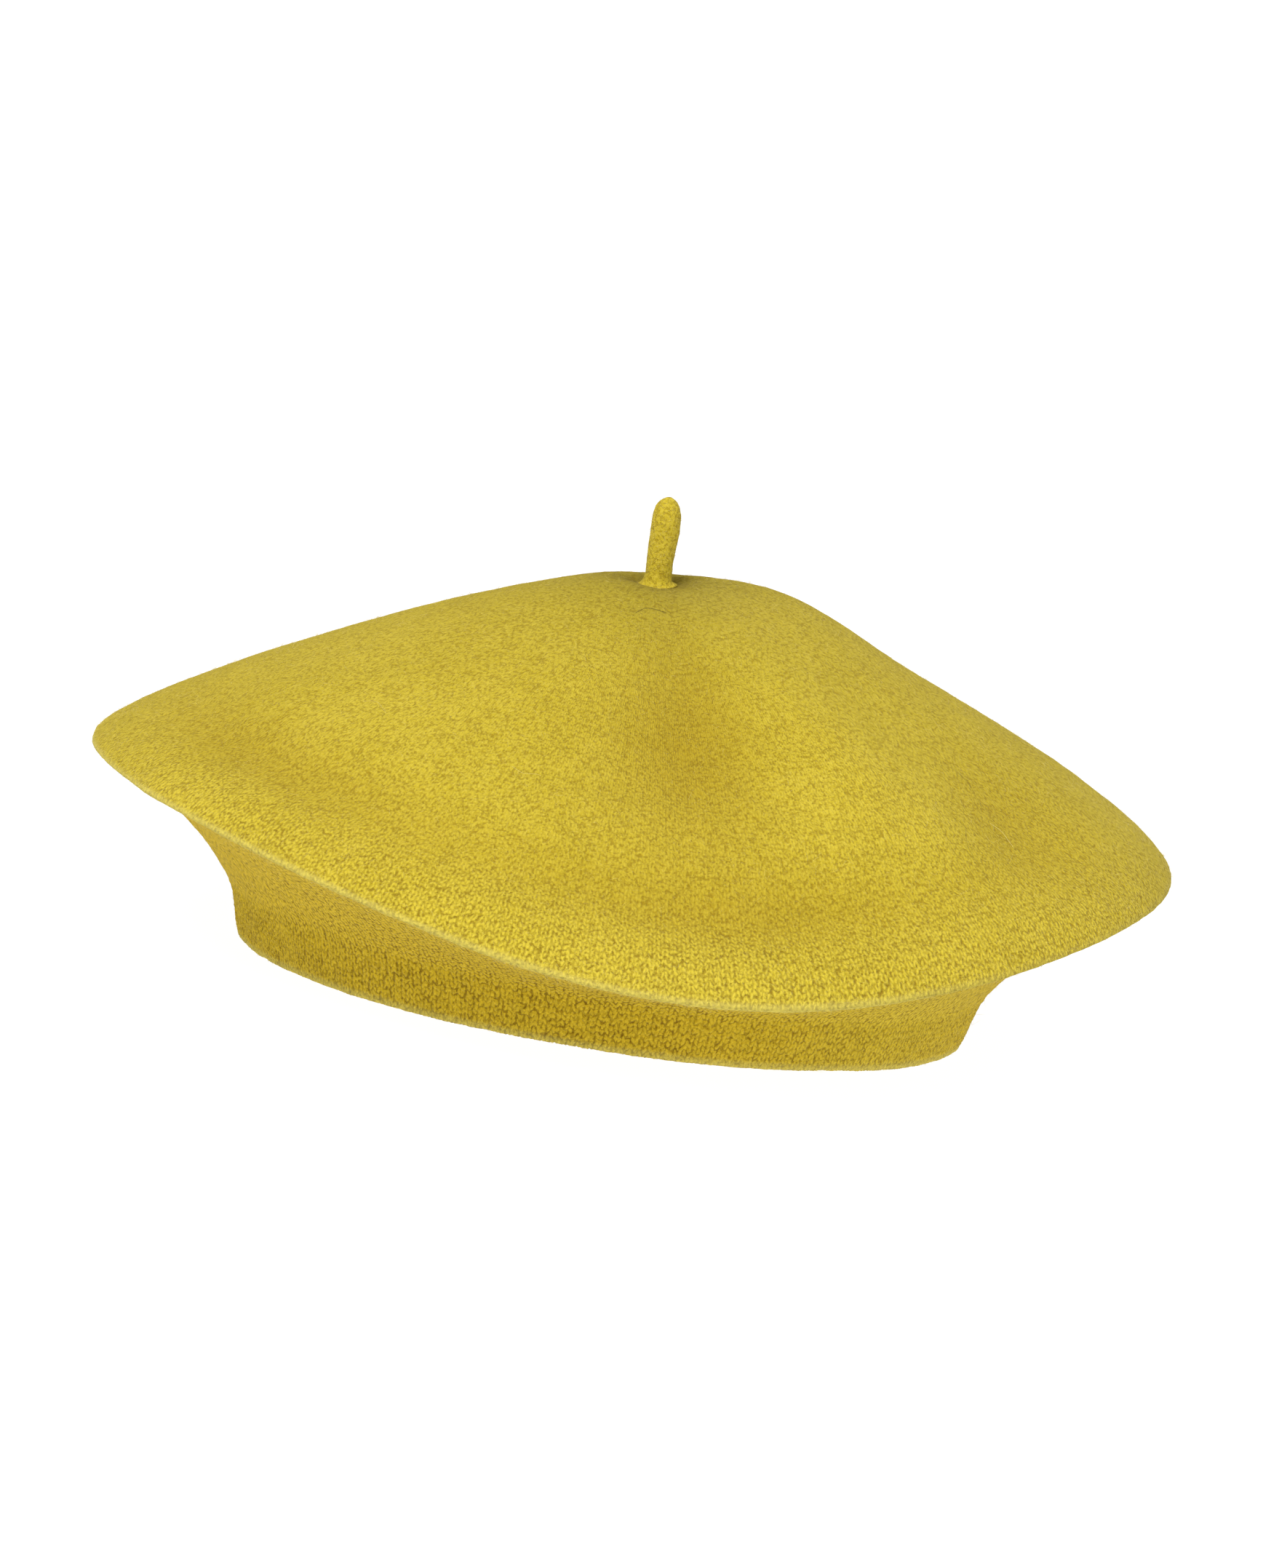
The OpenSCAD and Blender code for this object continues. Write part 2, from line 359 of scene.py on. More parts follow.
class Builder:
    """Collects rings of points and the faces between them, with both maps' coordinates."""

    def __init__(self):
        self.points = []
        self.count = 0
        self.faces = []
        self.bake = []
        self.knit = []
        self.values = {"knit_amount": [], "painted_edge_sheen": [], "depth_shade": [], "hollow_shade": []}
        self.normals = []

    def add_points(self, points, normals, **values):
        first = self.count
        flat = points.reshape(-1, 3)
        self.points.append(flat)
        self.normals.append(np.zeros_like(flat) if normals is None else normals.reshape(-1, 3))
        for key, held in self.values.items():
            held.append(np.broadcast_to(values.get(key, 0.0), points.shape[:-1]).ravel())
        self.count += len(flat)
        return first

    def add_faces(self, faces, bake, knit, flip=False):
        order = slice(None, None, -1) if flip else slice(None)
        self.faces.append(faces[:, order])
        self.bake.append(bake[:, order])
        self.knit.append(knit[:, order])

    def finish(self, name, material):
        points = np.concatenate(self.points)
        mesh = make_mesh(name, points, self.faces, {"OFBake": self.bake, "KnitGrid": self.knit})
        for key, held in self.values.items():
            set_values(mesh, key, np.concatenate(held))
        set_values(mesh, "felt_place", points * MM, "FLOAT_VECTOR")
        made = np.empty(len(points) * 3, dtype=np.float32)
        mesh.vertex_normals.foreach_get("vector", made)
        made = made.reshape(-1, 3)
        given = np.concatenate(self.normals).astype(np.float32)
        own = np.linalg.norm(given, axis=1) > 0.5
        made[own] = given[own]
        piece = add_object(name, mesh, material)
        mesh.normals_split_custom_set_from_vertices(made.tolist())
        return piece


# ---------------------------------------------------------------- shader groups


class Nodes:
    """Short calls for adding and joining the nodes of one tree."""

    def __init__(self, tree):
        self.tree = tree

    def add(self, kind, inputs=None, **settings):
        node = self.tree.nodes.new(kind)
        for key, value in settings.items():
            setattr(node, key, value)
        for key, value in (inputs or {}).items():
            socket = node.inputs[key]
            if isinstance(value, bpy.types.NodeSocket):
                self.tree.links.new(value, socket)
            else:
                socket.default_value = value
        return node

    def math(self, operation, a, b=0.0, c=0.0, clamp=False):
        node = self.add("ShaderNodeMath", {0: a, 1: b, 2: c}, operation=operation, use_clamp=clamp)
        return node.outputs[0]

    def vector(self, operation, a, b=(0.0, 0.0, 0.0)):
        return self.add("ShaderNodeVectorMath", {0: a, 1: b}, operation=operation).outputs[0]

    def scaled(self, a, factor):
        return self.add("ShaderNodeVectorMath", {0: a, "Scale": factor}, operation="SCALE").outputs[0]

    def mapped(self, value, low, high, to_low=0.0, to_high=1.0):
        inputs = {"Value": value, "From Min": low, "From Max": high, "To Min": to_low, "To Max": to_high}
        node = self.add("ShaderNodeMapRange", inputs, interpolation_type="SMOOTHSTEP")
        return node.outputs["Result"]

    def noise(self, place, scale, detail=2.0, rough=0.5, distortion=0.0):
        inputs = {
            "Vector": place, "Scale": scale, "Detail": detail, "Roughness": rough, "Distortion": distortion
        }
        return self.add("ShaderNodeTexNoise", inputs).outputs["Fac"]

    def mix(self, factor, a, b):
        node = self.add("ShaderNodeMix", {0: factor}, data_type="RGBA", blend_type="MIX")
        for socket, value in ((node.inputs[6], a), (node.inputs[7], b)):
            if isinstance(value, bpy.types.NodeSocket):
                self.tree.links.new(value, socket)
            else:
                socket.default_value = (*value[:3], 1.0)
        return node.outputs[2]


def new_group(name, inputs, outputs):
    """An empty shader group with named sockets, and its input and output nodes."""
    tree = bpy.data.node_groups.new(name, "ShaderNodeTree")
    for title, kind, default in inputs:
        socket = tree.interface.new_socket(name=title, in_out="INPUT", socket_type=kind)
        if default is not None:
            socket.default_value = default
    for title, kind in outputs:
        tree.interface.new_socket(name=title, in_out="OUTPUT", socket_type=kind)
    nodes = Nodes(tree)
    source = nodes.add("NodeGroupInput")
    sink = nodes.add("NodeGroupOutput")
    return tree, nodes, source.outputs, sink


FLOAT, VECTOR, COLOUR = "NodeSocketFloat", "NodeSocketVector", "NodeSocketColor"


def knit_stitches_group():
    """V-shaped stitches that fulling has half closed: their height, and the pits left between them."""
    tree, n, given, sink = new_group(
        "Knit Stitches",
        [("Grid", VECTOR, None), ("Waver", FLOAT, 0.45), ("Amount", FLOAT, 1.0)],
        [("Height", FLOAT), ("Pits", FLOAT)],
    )
    waver = n.add("ShaderNodeTexNoise", {"Vector": given["Grid"], "Scale": 0.45, "Detail": 2.0})
    centred = n.vector("SUBTRACT", waver.outputs["Color"], (0.5, 0.5, 0.5))
    grid = n.vector("ADD", given["Grid"], n.scaled(centred, given["Waver"]))
    parts = n.add("ShaderNodeSeparateXYZ", {0: grid}).outputs
    side = n.math("ABSOLUTE", n.math("SUBTRACT", n.math("FRACT", parts["X"]), 0.5))
    slanted = n.math("MULTIPLY_ADD", side, 1.3, parts["Y"])
    legs = n.add("ShaderNodeCombineXYZ", {"X": n.math("MULTIPLY", parts["X"], 2.0), "Y": slanted}).outputs[0]
    cells = n.add(
        "ShaderNodeTexVoronoi",
        {"Vector": legs, "Scale": 1.0, "Randomness": 0.45},
        voronoi_dimensions="2D",
        feature="F1",
    ).outputs
    distance = cells["Distance"]
    height = n.math("SUBTRACT", 1.0, n.math("MULTIPLY", distance, 1.3), clamp=True)
    ragged = n.noise(given["Grid"], 2.2, 3.0, 0.65)
    edge = n.math("MULTIPLY_ADD", ragged, 1.1, n.math("SUBTRACT", distance, 0.55))
    closed = n.mapped(n.noise(given["Grid"], 0.35, 2.0, 0.6), 0.35, 0.65, 0.6, 1.0)
    hollow = n.mapped(edge, 0.36, 0.56)
    pits = n.math("MULTIPLY", n.math("MULTIPLY", hollow, closed), given["Amount"])
    n.tree.links.new(n.math("MULTIPLY", height, given["Amount"]), sink.inputs["Height"])
    n.tree.links.new(pits, sink.inputs["Pits"])
    return tree


def wool_nap_group():
    """Matted wool: its fine height, short streaks of fibre, and dark specks between tufts."""
    tree, n, given, sink = new_group(
        "Wool Nap",
        [("Place", VECTOR, None), ("Fineness", FLOAT, 1.0)],
        [("Height", FLOAT), ("Streaks", FLOAT), ("Specks", FLOAT), ("Tufts", FLOAT)],
    )
    place = n.scaled(given["Place"], given["Fineness"])
    swirl = n.add("ShaderNodeTexNoise", {"Vector": place, "Scale": 90.0, "Detail": 1.0}).outputs["Color"]
    bent = n.vector("ADD", place, n.scaled(n.vector("SUBTRACT", swirl, (0.5, 0.5, 0.5)), 0.004))
    lying = n.noise(n.vector("MULTIPLY", bent, (1.0, 1.0, 3.0)), 1250.0, 2.0, 0.6, 0.8)
    across = n.noise(n.vector("MULTIPLY", bent, (2.8, 1.0, 1.0)), 1150.0, 2.0, 0.6, 0.8)
    streaks = n.math("ADD", n.math("MULTIPLY", lying, 0.6), n.math("MULTIPLY", across, 0.4))
    cell = n.add("ShaderNodeTexVoronoi", {"Vector": bent, "Scale": 900.0, "Randomness": 1.0}, feature="F1")
    fine = n.noise(bent, 1500.0, 2.0, 0.6, 0.5)
    tufts = n.math("MULTIPLY_ADD", cell.outputs["Distance"], -0.45, n.math("MULTIPLY_ADD", fine, 1.1, 0.15))
    specks = n.mapped(tufts, 0.26, 0.46, 1.0, 0.0)
    height = n.math("ADD", n.math("MULTIPLY", streaks, 0.55), n.math("MULTIPLY", tufts, 0.45))
    for title, value in (("Height", height), ("Streaks", streaks), ("Specks", specks), ("Tufts", tufts)):
        n.tree.links.new(value, sink.inputs[title])
    return tree


def dye_variation_group():
    """Uneven dye: a colour between two shades, in wide clouds and in the wool's own blotches."""
    tree, n, given, sink = new_group(
        "Dye Variation",
        [("Place", VECTOR, None), ("Pale", COLOUR, None), ("Deep", COLOUR, None), ("Fine", FLOAT, 0.5)],
        [("Color", COLOUR)],
    )
    clouds = n.noise(given["Place"], 26.0, 2.0, 0.55)
    blotches = n.noise(given["Place"], 210.0, 3.0, 0.6)
    mixed = n.math("ADD", n.math("MULTIPLY", clouds, 0.4), n.math("MULTIPLY", blotches, 0.35))
    total = n.math("MULTIPLY_ADD", given["Fine"], 0.35, mixed)
    share = n.mapped(total, 0.36, 0.74)
    n.tree.links.new(n.mix(share, given["Deep"], given["Pale"]), sink.inputs["Color"])
    return tree


def shared_group(name, build):
    """The shader group of that name, built the first time it is asked for."""
    return bpy.data.node_groups.get(name) or build()


# ---------------------------------------------------------------- materials


def linear(colour):
    """An sRGB colour of three parts as a linear one."""
    return tuple(c / 12.92 if c <= 0.04045 else ((c + 0.055) / 1.055) ** 2.4 for c in colour)


def new_material(name, **sockets):
    material = bpy.data.materials.new(name)
    material.use_nodes = True
    nodes = Nodes(material.node_tree)
    shader = material.node_tree.nodes["Principled BSDF"]
    for title, value in sockets.items():
        socket = shader.inputs[title.replace("_", " ").title().replace("Ior", "IOR")]
        socket.default_value = (*value, 1.0) if isinstance(value, tuple) else value
    return material, nodes, shader


def use_group(nodes, group, **inputs):
    node = nodes.add("ShaderNodeGroup")
    node.node_tree = group
    for title, value in inputs.items():
        socket = node.inputs[title.replace("_", " ").title().replace("Ior", "IOR")]
        if isinstance(value, bpy.types.NodeSocket):
            nodes.tree.links.new(value, socket)
        else:
            socket.default_value = (*value, 1.0) if isinstance(value, tuple) else value
    return node.outputs


def join_surface(nodes, shader, colour, roughness=None, height=None, strength=0.5, distance=0.0004):
    """Joins a colour, a roughness and a bump height to a shader."""
    nodes.tree.links.new(colour, shader.inputs["Base Color"])
    if roughness is not None:
        nodes.tree.links.new(roughness, shader.inputs["Roughness"])
    if height is not None:
        bump = nodes.add("ShaderNodeBump", {"Height": height, "Strength": strength, "Distance": distance})
        nodes.tree.links.new(bump.outputs["Normal"], shader.inputs["Normal"])


def place_of(nodes):
    return nodes.add("ShaderNodeAttribute", attribute_name="felt_place").outputs["Vector"]


def value_of(nodes, name):
    return nodes.add("ShaderNodeAttribute", attribute_name=name).outputs["Fac"]


def felt_material(name, felt, knit=True):
    """Fulled wool: uneven dye, lying fibres, specks, and on the body its half closed stitches; with painted
    shade in the hollows, specks, pits, dents and under the fold, painted highlights on the stitch tops and a
    painted sheen along the edges.
    """
    material, n, shader = new_material(
        name,
        roughness=0.93,
        specular_ior_level=0.12,
        sheen_weight=felt.sheen,
        sheen_roughness=0.45,
        sheen_tint=tuple(felt.sheen_tint),
    )
    place = place_of(n)
    dye = use_group(n, shared_group("Dye Variation", dye_variation_group), place=place,
                    pale=tuple(felt.pale), deep=tuple(felt.deep))
    nap = use_group(n, shared_group("Wool Nap", wool_nap_group), place=place, fineness=1.0)
    streak_tone = n.mapped(nap["Streaks"], 0.40, 0.66, 0.0, 0.5)
    colour = n.mix(streak_tone, dye["Color"], tuple(felt.fibre))
    # Painted shade in the hollows between tufts
    tone = n.mapped(nap["Tufts"], 0.30, 0.62, felt.tuft_depth, 0.0)
    colour = n.mix(tone, colour, tuple(felt.shade))
    height = n.math("MULTIPLY", nap["Height"], 0.55)
    if knit:
        # Painted shade in the hollows of the crown's dents, by hollow_shade
        colour = n.mix(n.math("MULTIPLY", value_of(n, "hollow_shade"), 0.68), colour, tuple(felt.shade))
        # Painted shade under the crown's overhang and inside the hat, by depth_shade
        colour = n.mix(value_of(n, "depth_shade"), colour, tuple(felt.depth))
        amount = value_of(n, "knit_amount")
        open_felt = n.math("MULTIPLY_ADD", amount, 0.6, 0.2)
    else:
        open_felt = 0.35
    # Painted shade in the specks between tufts, more where the stitches show
    speck = n.math("MULTIPLY", n.math("MULTIPLY", nap["Specks"], felt.speck_depth), open_felt)
    colour = n.mix(speck, colour, tuple(felt.pit))
    height = n.math("SUBTRACT", height, n.math("MULTIPLY", speck, 0.35))
    if knit:
        grid = n.add("ShaderNodeUVMap", uv_map="KnitGrid").outputs[0]
        stitch = use_group(n, shared_group("Knit Stitches", knit_stitches_group), grid=grid, amount=amount)
        # Painted highlight on the tops of the stitches, darker where the painted shade under the fold lies
        stitch_top_highlight = n.mapped(stitch["Height"], 0.12, 0.6, 0.0, 0.75)
        tops = n.mix(value_of(n, "depth_shade"), tuple(felt.stitch_top_highlight), tuple(felt.shaded_stitch_top_highlight))
        colour = n.mix(stitch_top_highlight, colour, tops)
        # Painted shade in the pits between stitches
        colour = n.mix(n.math("MULTIPLY", stitch["Pits"], felt.pit_depth), colour, tuple(felt.pit))
        # Painted sheen: a pale band along the fold line and the hem's lower edge, where the fibres catch the
        # light edge on
        colour = n.mix(n.math("MULTIPLY", value_of(n, "painted_edge_sheen"), 0.55), colour, tuple(felt.edge_sheen))
        height = n.math("ADD", height, n.math("MULTIPLY", stitch["Height"], 0.9))
    rough = n.mapped(nap["Tufts"], 0.2, 0.8, 0.97, 0.86)
    join_surface(n, shader, colour, rough, height, felt.bump, 0.0009)
    return material


def yarn_material(name, pale, deep, sheen=0.3):
    """Spun yarn: ply bands from the fine noise along it, and loose surface fibres."""
    material, n, shader = new_material(
        name, roughness=0.85, specular_ior_level=0.2, sheen_weight=sheen, sheen_roughness=0.4
    )
    place = n.add("ShaderNodeTexCoord").outputs["Object"]
    dye = use_group(n, shared_group("Dye Variation", dye_variation_group), place=place, pale=pale, deep=deep)
    nap = use_group(n, shared_group("Wool Nap", wool_nap_group), place=place, fineness=1.6)
    tone = n.mapped(nap["Streaks"], 0.34, 0.66, 0.45, 0.0)
    rough = n.mapped(nap["Tufts"], 0.2, 0.8, 0.95, 0.75)
    join_surface(n, shader, n.mix(tone, dye["Color"], deep), rough, nap["Height"], 0.5, 0.0002)
    return material


def woven_material(name, pale, deep, threads, satin):
    """Narrow woven tape: warp and weft threads that pass over and under each other."""
    material, n, shader = new_material(
        name, roughness=0.6, specular_ior_level=0.35, sheen_weight=0.15, sheen_roughness=0.5
    )
    grid = n.add("ShaderNodeUVMap", uv_map="WeaveGrid").outputs[0]
    counted = n.vector("MULTIPLY", grid, (threads[0], threads[1], 1.0))
    parts = n.add("ShaderNodeSeparateXYZ", {0: counted}).outputs
    warp = n.math("SINE", n.math("MULTIPLY", parts["X"], math.pi))
    weft = n.math("SINE", n.math("MULTIPLY", parts["Y"], math.pi))
    stepped = n.math("ADD", parts["X"], n.math("MULTIPLY", parts["Y"], satin))
    over = n.math("SINE", n.math("MULTIPLY", stepped, math.pi))
    warp_height = n.math("MULTIPLY_ADD", over, 0.3, n.math("ABSOLUTE", warp))
    weft_height = n.math("MULTIPLY_ADD", over, -0.3, n.math("ABSOLUTE", weft))
    height = n.math("MAXIMUM", warp_height, weft_height)
    gap = n.mapped(height, 0.1, 0.75, 1.0, 0.0)
    fleck = n.noise(grid, 900.0, 2.0)
    tone = n.math("ADD", n.math("MULTIPLY", gap, 0.7), n.mapped(fleck, 0.35, 0.7, 0.25, 0.0), clamp=True)
    rough = n.mapped(height, 0.2, 1.2, 0.8, 0.45)
    join_surface(n, shader, n.mix(tone, pale, deep), rough, height, 0.6, 0.0001)
    return material


def fibre_material(name, pale, deep):
    """Loose wool fibres, each one its own tone."""
    material, n, shader = new_material(
        name, roughness=0.8, specular_ior_level=0.2, sheen_weight=0.4, sheen_roughness=0.4
    )
    tone = value_of(n, "fibre_tone")
    place = n.add("ShaderNodeTexCoord").outputs["Object"]
    mottle = n.noise(place, 500.0, 1.0)
    share = n.math("MULTIPLY_ADD", mottle, 0.4, n.math("MULTIPLY", tone, 0.8), clamp=True)
    join_surface(n, shader, n.mix(share, deep, pale), n.mapped(mottle, 0.2, 0.8, 0.9, 0.7))
    return material


# ---------------------------------------------------------------- settings


def colour_setting(name, description, default):
    return FloatVectorProperty(
        name=name, description=description, default=linear(default), subtype="COLOR", size=3, min=0, max=1
    )


def share_setting(name, description, default, high=1.0):
    return FloatProperty(
        name=name, description=description, default=default, min=0, max=high, subtype="FACTOR"
    )


def length_setting(name, description, default):
    return FloatProperty(
        name=name, description=description, default=default, min=0, unit="LENGTH", precision=5
    )


class BeretFeltSettings(bpy.types.PropertyGroup):
    pale: colour_setting("Pale dye", "Colour of the felt where the dye took least", (0.835, 0.745, 0.215))
    deep: colour_setting("Deep dye", "Colour of the felt where the dye took most", (0.770, 0.680, 0.145))
    fibre: colour_setting("Lying fibres", "Colour of the pale fibres on the surface", (0.870, 0.790, 0.330))
    # Painted shade: the colour put in the hollows between tufts and in the crown's dents
    shade: colour_setting(
        "Between tufts", "Colour in the shallow hollows between tufts", (0.660, 0.545, 0.085)
    )
    # Painted shade: the colour put in the pits between stitches and the specks between tufts
    pit: colour_setting("Pits", "Colour of the pits and specks in the felt", (0.460, 0.310, 0.020))
    # Painted shade: the colour that stands for the shade under the crown's overhang and inside the hat
    depth: colour_setting(
        "Under the overhang", "Colour of the less faded felt below the fold", (0.860, 0.735, 0.150)
    )
    # Painted highlight: the lighter colour put on the tops of the stitches, where they catch the light; the
    # next colour is the same highlight in the painted shade under the fold
    stitch_top_highlight: colour_setting(
        "Raised stitches", "Colour of the rubbed tops of the stitches", (0.930, 0.835, 0.270)
    )
    shaded_stitch_top_highlight: colour_setting(
        "Raised stitches below", "Colour of the tops of the stitches under the fold", (0.900, 0.765, 0.170)
    )
    # Painted sheen: the pale colour along the fold and the hem's lower edge, where the fibres catch the light
    # edge on
    edge_sheen: colour_setting("Worn edge", "Colour of the paler felt along the fold", (0.880, 0.820, 0.440))
    sheen_tint: colour_setting("Sheen", "Tint of the fibres seen edge on", (0.99, 0.95, 0.70))
    sheen: share_setting("Sheen amount", "How much the fibres seen edge on brighten", 0.12)
    # Painted shade: how much the hollows between tufts darken
    tuft_depth: share_setting("Tuft contrast", "How much the hollows between tufts darken", 0.34)
    speck_depth: share_setting("Speck contrast", "How dark the specks are", 0.75)
    pit_depth: share_setting("Pit contrast", "How dark the pits between stitches are", 0.66)
    bump: share_setting("Relief", "Strength of the felt's fine relief", 0.9)
    row: length_setting("Row spacing", "Distance between rows of the crown's mesh", 0.0009)
    stitch_height: length_setting("Stitch height", "How far the headband's stitches stand out", 0.0004)


class BeretTrimSettings(bpy.types.PropertyGroup):
    yarn: colour_setting("Yarn", "Colour of the sewing yarn", (0.80, 0.69, 0.26))
    yarn_deep: colour_setting("Yarn hollows", "Colour between the yarn's plies", (0.60, 0.48, 0.14))
    tape: colour_setting("Tape", "Colour of the elastic and the label", (0.93, 0.92, 0.87))
    tape_deep: colour_setting("Tape hollows", "Colour between the tape's threads", (0.70, 0.68, 0.62))
    yarn_d: length_setting("Yarn thickness", "Thickness of the sewing yarn", 0.0008)
    label_width: length_setting("Label width", "Width of the care label", 0.022)
    label_length: length_setting("Label length", "Length of the folded care label", 0.024)


class BeretFuzzSettings(bpy.types.PropertyGroup):
    crown_count: IntProperty(name="Crown fibres", description="Fibres on the crown", default=14000, min=0)
    rim_count: IntProperty(
        name="Rim fibres", description="Fibres on the rim and headband", default=13000, min=0
    )
    stalk_count: IntProperty(name="Stalk fibres", description="Fibres on the stalk", default=900, min=0)
    length: length_setting("Fibre length", "Usual length of a loose fibre", 0.0014)
    thickness: length_setting("Fibre thickness", "Thickness of a loose fibre", 0.00004)
    pale: colour_setting("Pale fibres", "Colour of the palest fibres", (0.94, 0.88, 0.52))
    deep: colour_setting("Deep fibres", "Colour of the deepest fibres", (0.80, 0.70, 0.22))
    hair: colour_setting("Dark hairs", "Colour of the few dark hairs", (0.30, 0.24, 0.10))


class BeretStudioSettings(bpy.types.PropertyGroup):
    distance: length_setting("Camera distance", "From the camera to the hat", 2.0)
    height: length_setting("Aim height", "Height on the hat that the camera aims at", 0.053)
    elevation: FloatProperty(name="Elevation", description="Camera above the horizon",
                             default=math.radians(8.6), subtype="ANGLE")
    tilt: FloatProperty(name="Tilt", description="Turn of the camera about its own line of sight",
                        default=math.radians(9.05), subtype="ANGLE")
    lens: FloatProperty(name="Lens", description="Focal length in millimetres", default=177.98, min=1)
    sky: share_setting("Surround", "Brightness of the white surround", 0.30, 5)
    key: share_setting("Key light", "Strength of the broad light from above", 2.35, 20)
    fill: share_setting("Front light", "Strength of the soft light from the front", 1.15, 20)


# ---------------------------------------------------------------- the felt body


def crown_rows(low, high, spacing, angle=350.0):
    """Shares of the radius between two that lie evenly apart over the crown's curve."""
    wide = np.linspace(math.asin(low**5), math.asin(high**5) if high < 1 else math.pi / 2, 6000)
    near = np.sin(wide) ** 0.2
    shares = np.unique(np.concatenate([np.linspace(low, high, 4000), np.clip(near, low, high)]))
    path = crown_point(np.array(angle), shares)
    places = even_steps(path, spacing) * (len(shares) - 1)
    return np.interp(places, np.arange(len(shares)), shares)


def under_rows(spacing, inset=0.0):
    """Places from the fold line back to the headband that lie evenly apart over the underside."""
    along = 1 - np.linspace(0, 1, 4000) ** 2
    path = under_point(np.array(350.0), along, inset)
    places = even_steps(path, spacing) * (len(along) - 1)
    return np.interp(places, np.arange(len(along)), along)


def band_profile():
    """The headband's skin as (radius, height), from its top down, round the edge and up the hem."""
    outer = np.array([[BAND_TOP_R, BAND_H]])
    edge = arc((BAND_R - HEM_EDGE, HEM_EDGE), HEM_EDGE, 0, -90, 9)
    turn = arc((HEAD_R + FLAT_EDGE, FLAT_EDGE), FLAT_EDGE, -90, -180, 11)
    hem = np.array([[HEAD_R, HEM_FACE], [BAND_TOP_R - FELT, BAND_H]])
    return np.concatenate([outer, edge, turn, hem])


def knit_strength(angle, from_fold):
    """How clearly the stitches show: most just above the fold at the front, less elsewhere."""
    front = bell(turn_back(angle - 275), 50)
    reach = 24 + 10 * front
    return (0.10 + 0.14 * front) * (1 - ramp(from_fold, 4, reach)) + 0.30


def felt_skin(spacing, stitch_height):
    """The hat's whole outer skin on one grid, with its normals and what its surface is like."""
    angle = np.arange(FINE) * 360 / FINE
    shares = crown_rows(0.5, 1.0, spacing)
    under = under_rows(0.0009 / MM)
    profile = band_profile()
    outer = along_path(profile[:2], 0.31)
    rest = along_path(profile[1:], 0.42)
    crown = crown_point(angle[None, :], shares[:, None])
    below = under_point(angle[None, :], under[:, None])
    band = ring_of(np.concatenate([outer, rest[1:]]), FINE)
    base = np.concatenate([crown, below[1:], band[1:]])
    fold_row = len(shares) - 1
    top_row = fold_row + len(under) - 1
    soft = bell(np.arange(len(base)) - top_row, CORNER_ROWS)[:, None, None] * CORNER_PULL
    for _ in range(CORNER_PASSES):
        middle = (base[2:] + base[:-2]) / 2
        base[1:-1] += soft[1:-1] * (middle - base[1:-1])
    run = np.concatenate([[0], np.cumsum(np.linalg.norm(np.diff(base, axis=0), axis=2).mean(axis=1))])
    faces = grid_faces(len(base), FINE)[0]
    normals = skin_normals(base.reshape(-1, 3), [faces]).reshape(base.shape)
    return {
        "angle": angle, "shares": shares, "under": under, "base": base, "normals": normals, "run": run,
        "fold_row": fold_row, "top_row": top_row, "outer_rows": len(outer), "faces": faces,
        "stitch_height": stitch_height,
    }


def finished_skin(skin):
    """Moves the skin out by its relief and stitches, and works out each point's surface values."""
    base, run, angle = skin["base"], skin["run"], skin["angle"]
    row = np.arange(len(base))[:, None]
    from_fold = np.abs(run - run[skin["fold_row"]])[:, None]
    from_top = (run - run[skin["top_row"]])[:, None]
    band_amount = ramp(from_top, 0, 2.5)
    under = 0.75 + 0.35 * ramp(from_fold, 1, 5)
    amount = np.where(row <= skin["fold_row"], knit_strength(angle[None, :], from_fold), under)
    worked = 0.6 + 0.4 * bell(turn_back(angle[None, :] - 262), 42)
    amount = amount * (1 - band_amount) + band_amount
    amount = np.where(row <= skin["fold_row"], amount, 0.95 * worked * amount)
    wale = angle[None, :] / 360 * BAND_WALES + 0 * run[:, None]
    stitch = stitch_relief(wale, from_top / COURSE + 0.3 * LUMPS.at(base, 9.0))
    vary = 0.75 + 0.5 * CLUMPS.at(base, 4.0)
    relief = felt_relief(base) + band_amount * skin["stitch_height"] * (stitch * vary - 0.4)
    relief = relief + 0.16 * amount * TUFTS.at(base, 1.9)
    front = 1 - 0.65 * ramp(turn_back(angle - 290), 0, 30)[None, :]
    # ridge raises the fold a little and marks a painted sheen along it; hem_edge marks a painted sheen line
    # along the hem's lower edge
    ridge = bell(from_fold - 0.3, 0.95) * front
    edge_run = run[skin["top_row"] + skin["outer_rows"] - 1]
    hem_edge = bell(run[:, None] - edge_run - 0.6, 1.1)
    relief = relief + 0.22 * ridge
    # Painted shade: below the fold the felt takes the shade colour (below), less of it along the hem's lower
    # edge and towards the front right (faded), and a painted shadow line lies just under the fold
    # (fold_shadow)
    below = ramp(run[:, None] - run[skin["fold_row"]], 1.5, 7.0)
    faded = 1 - 0.45 * bell(turn_back(angle[None, :] - 322), 26)
    fold_shadow = bell(run[:, None] - run[skin["fold_row"]] - 3.2, 1.2)
    deep = 0.9 * below * (1 - 0.6 * hem_edge) * faded + 0.4 * fold_shadow
    share = np.ones(len(base))
    share[:len(skin["shares"])] = skin["shares"]
    # Painted shade in the hollows of the crown's dents
    hollow = np.clip(-folds(angle[None, :], share[:, None]) / 5, 0, 1) * (row < skin["fold_row"])
    points = base + skin["normals"] * relief[..., None]
    points[..., 2] = np.maximum(points[..., 2], 0.0)
    normals = skin_normals(points.reshape(-1, 3), [skin["faces"]]).reshape(points.shape)
    values = {
        "knit_amount": amount + 0 * ridge,
        "painted_edge_sheen": np.clip(ridge + 0.9 * hem_edge, 0, 1),
        "depth_shade": np.clip(deep + 0 * ridge, 0, 1),
        "hollow_shade": hollow,
    }
    return points, normals, values


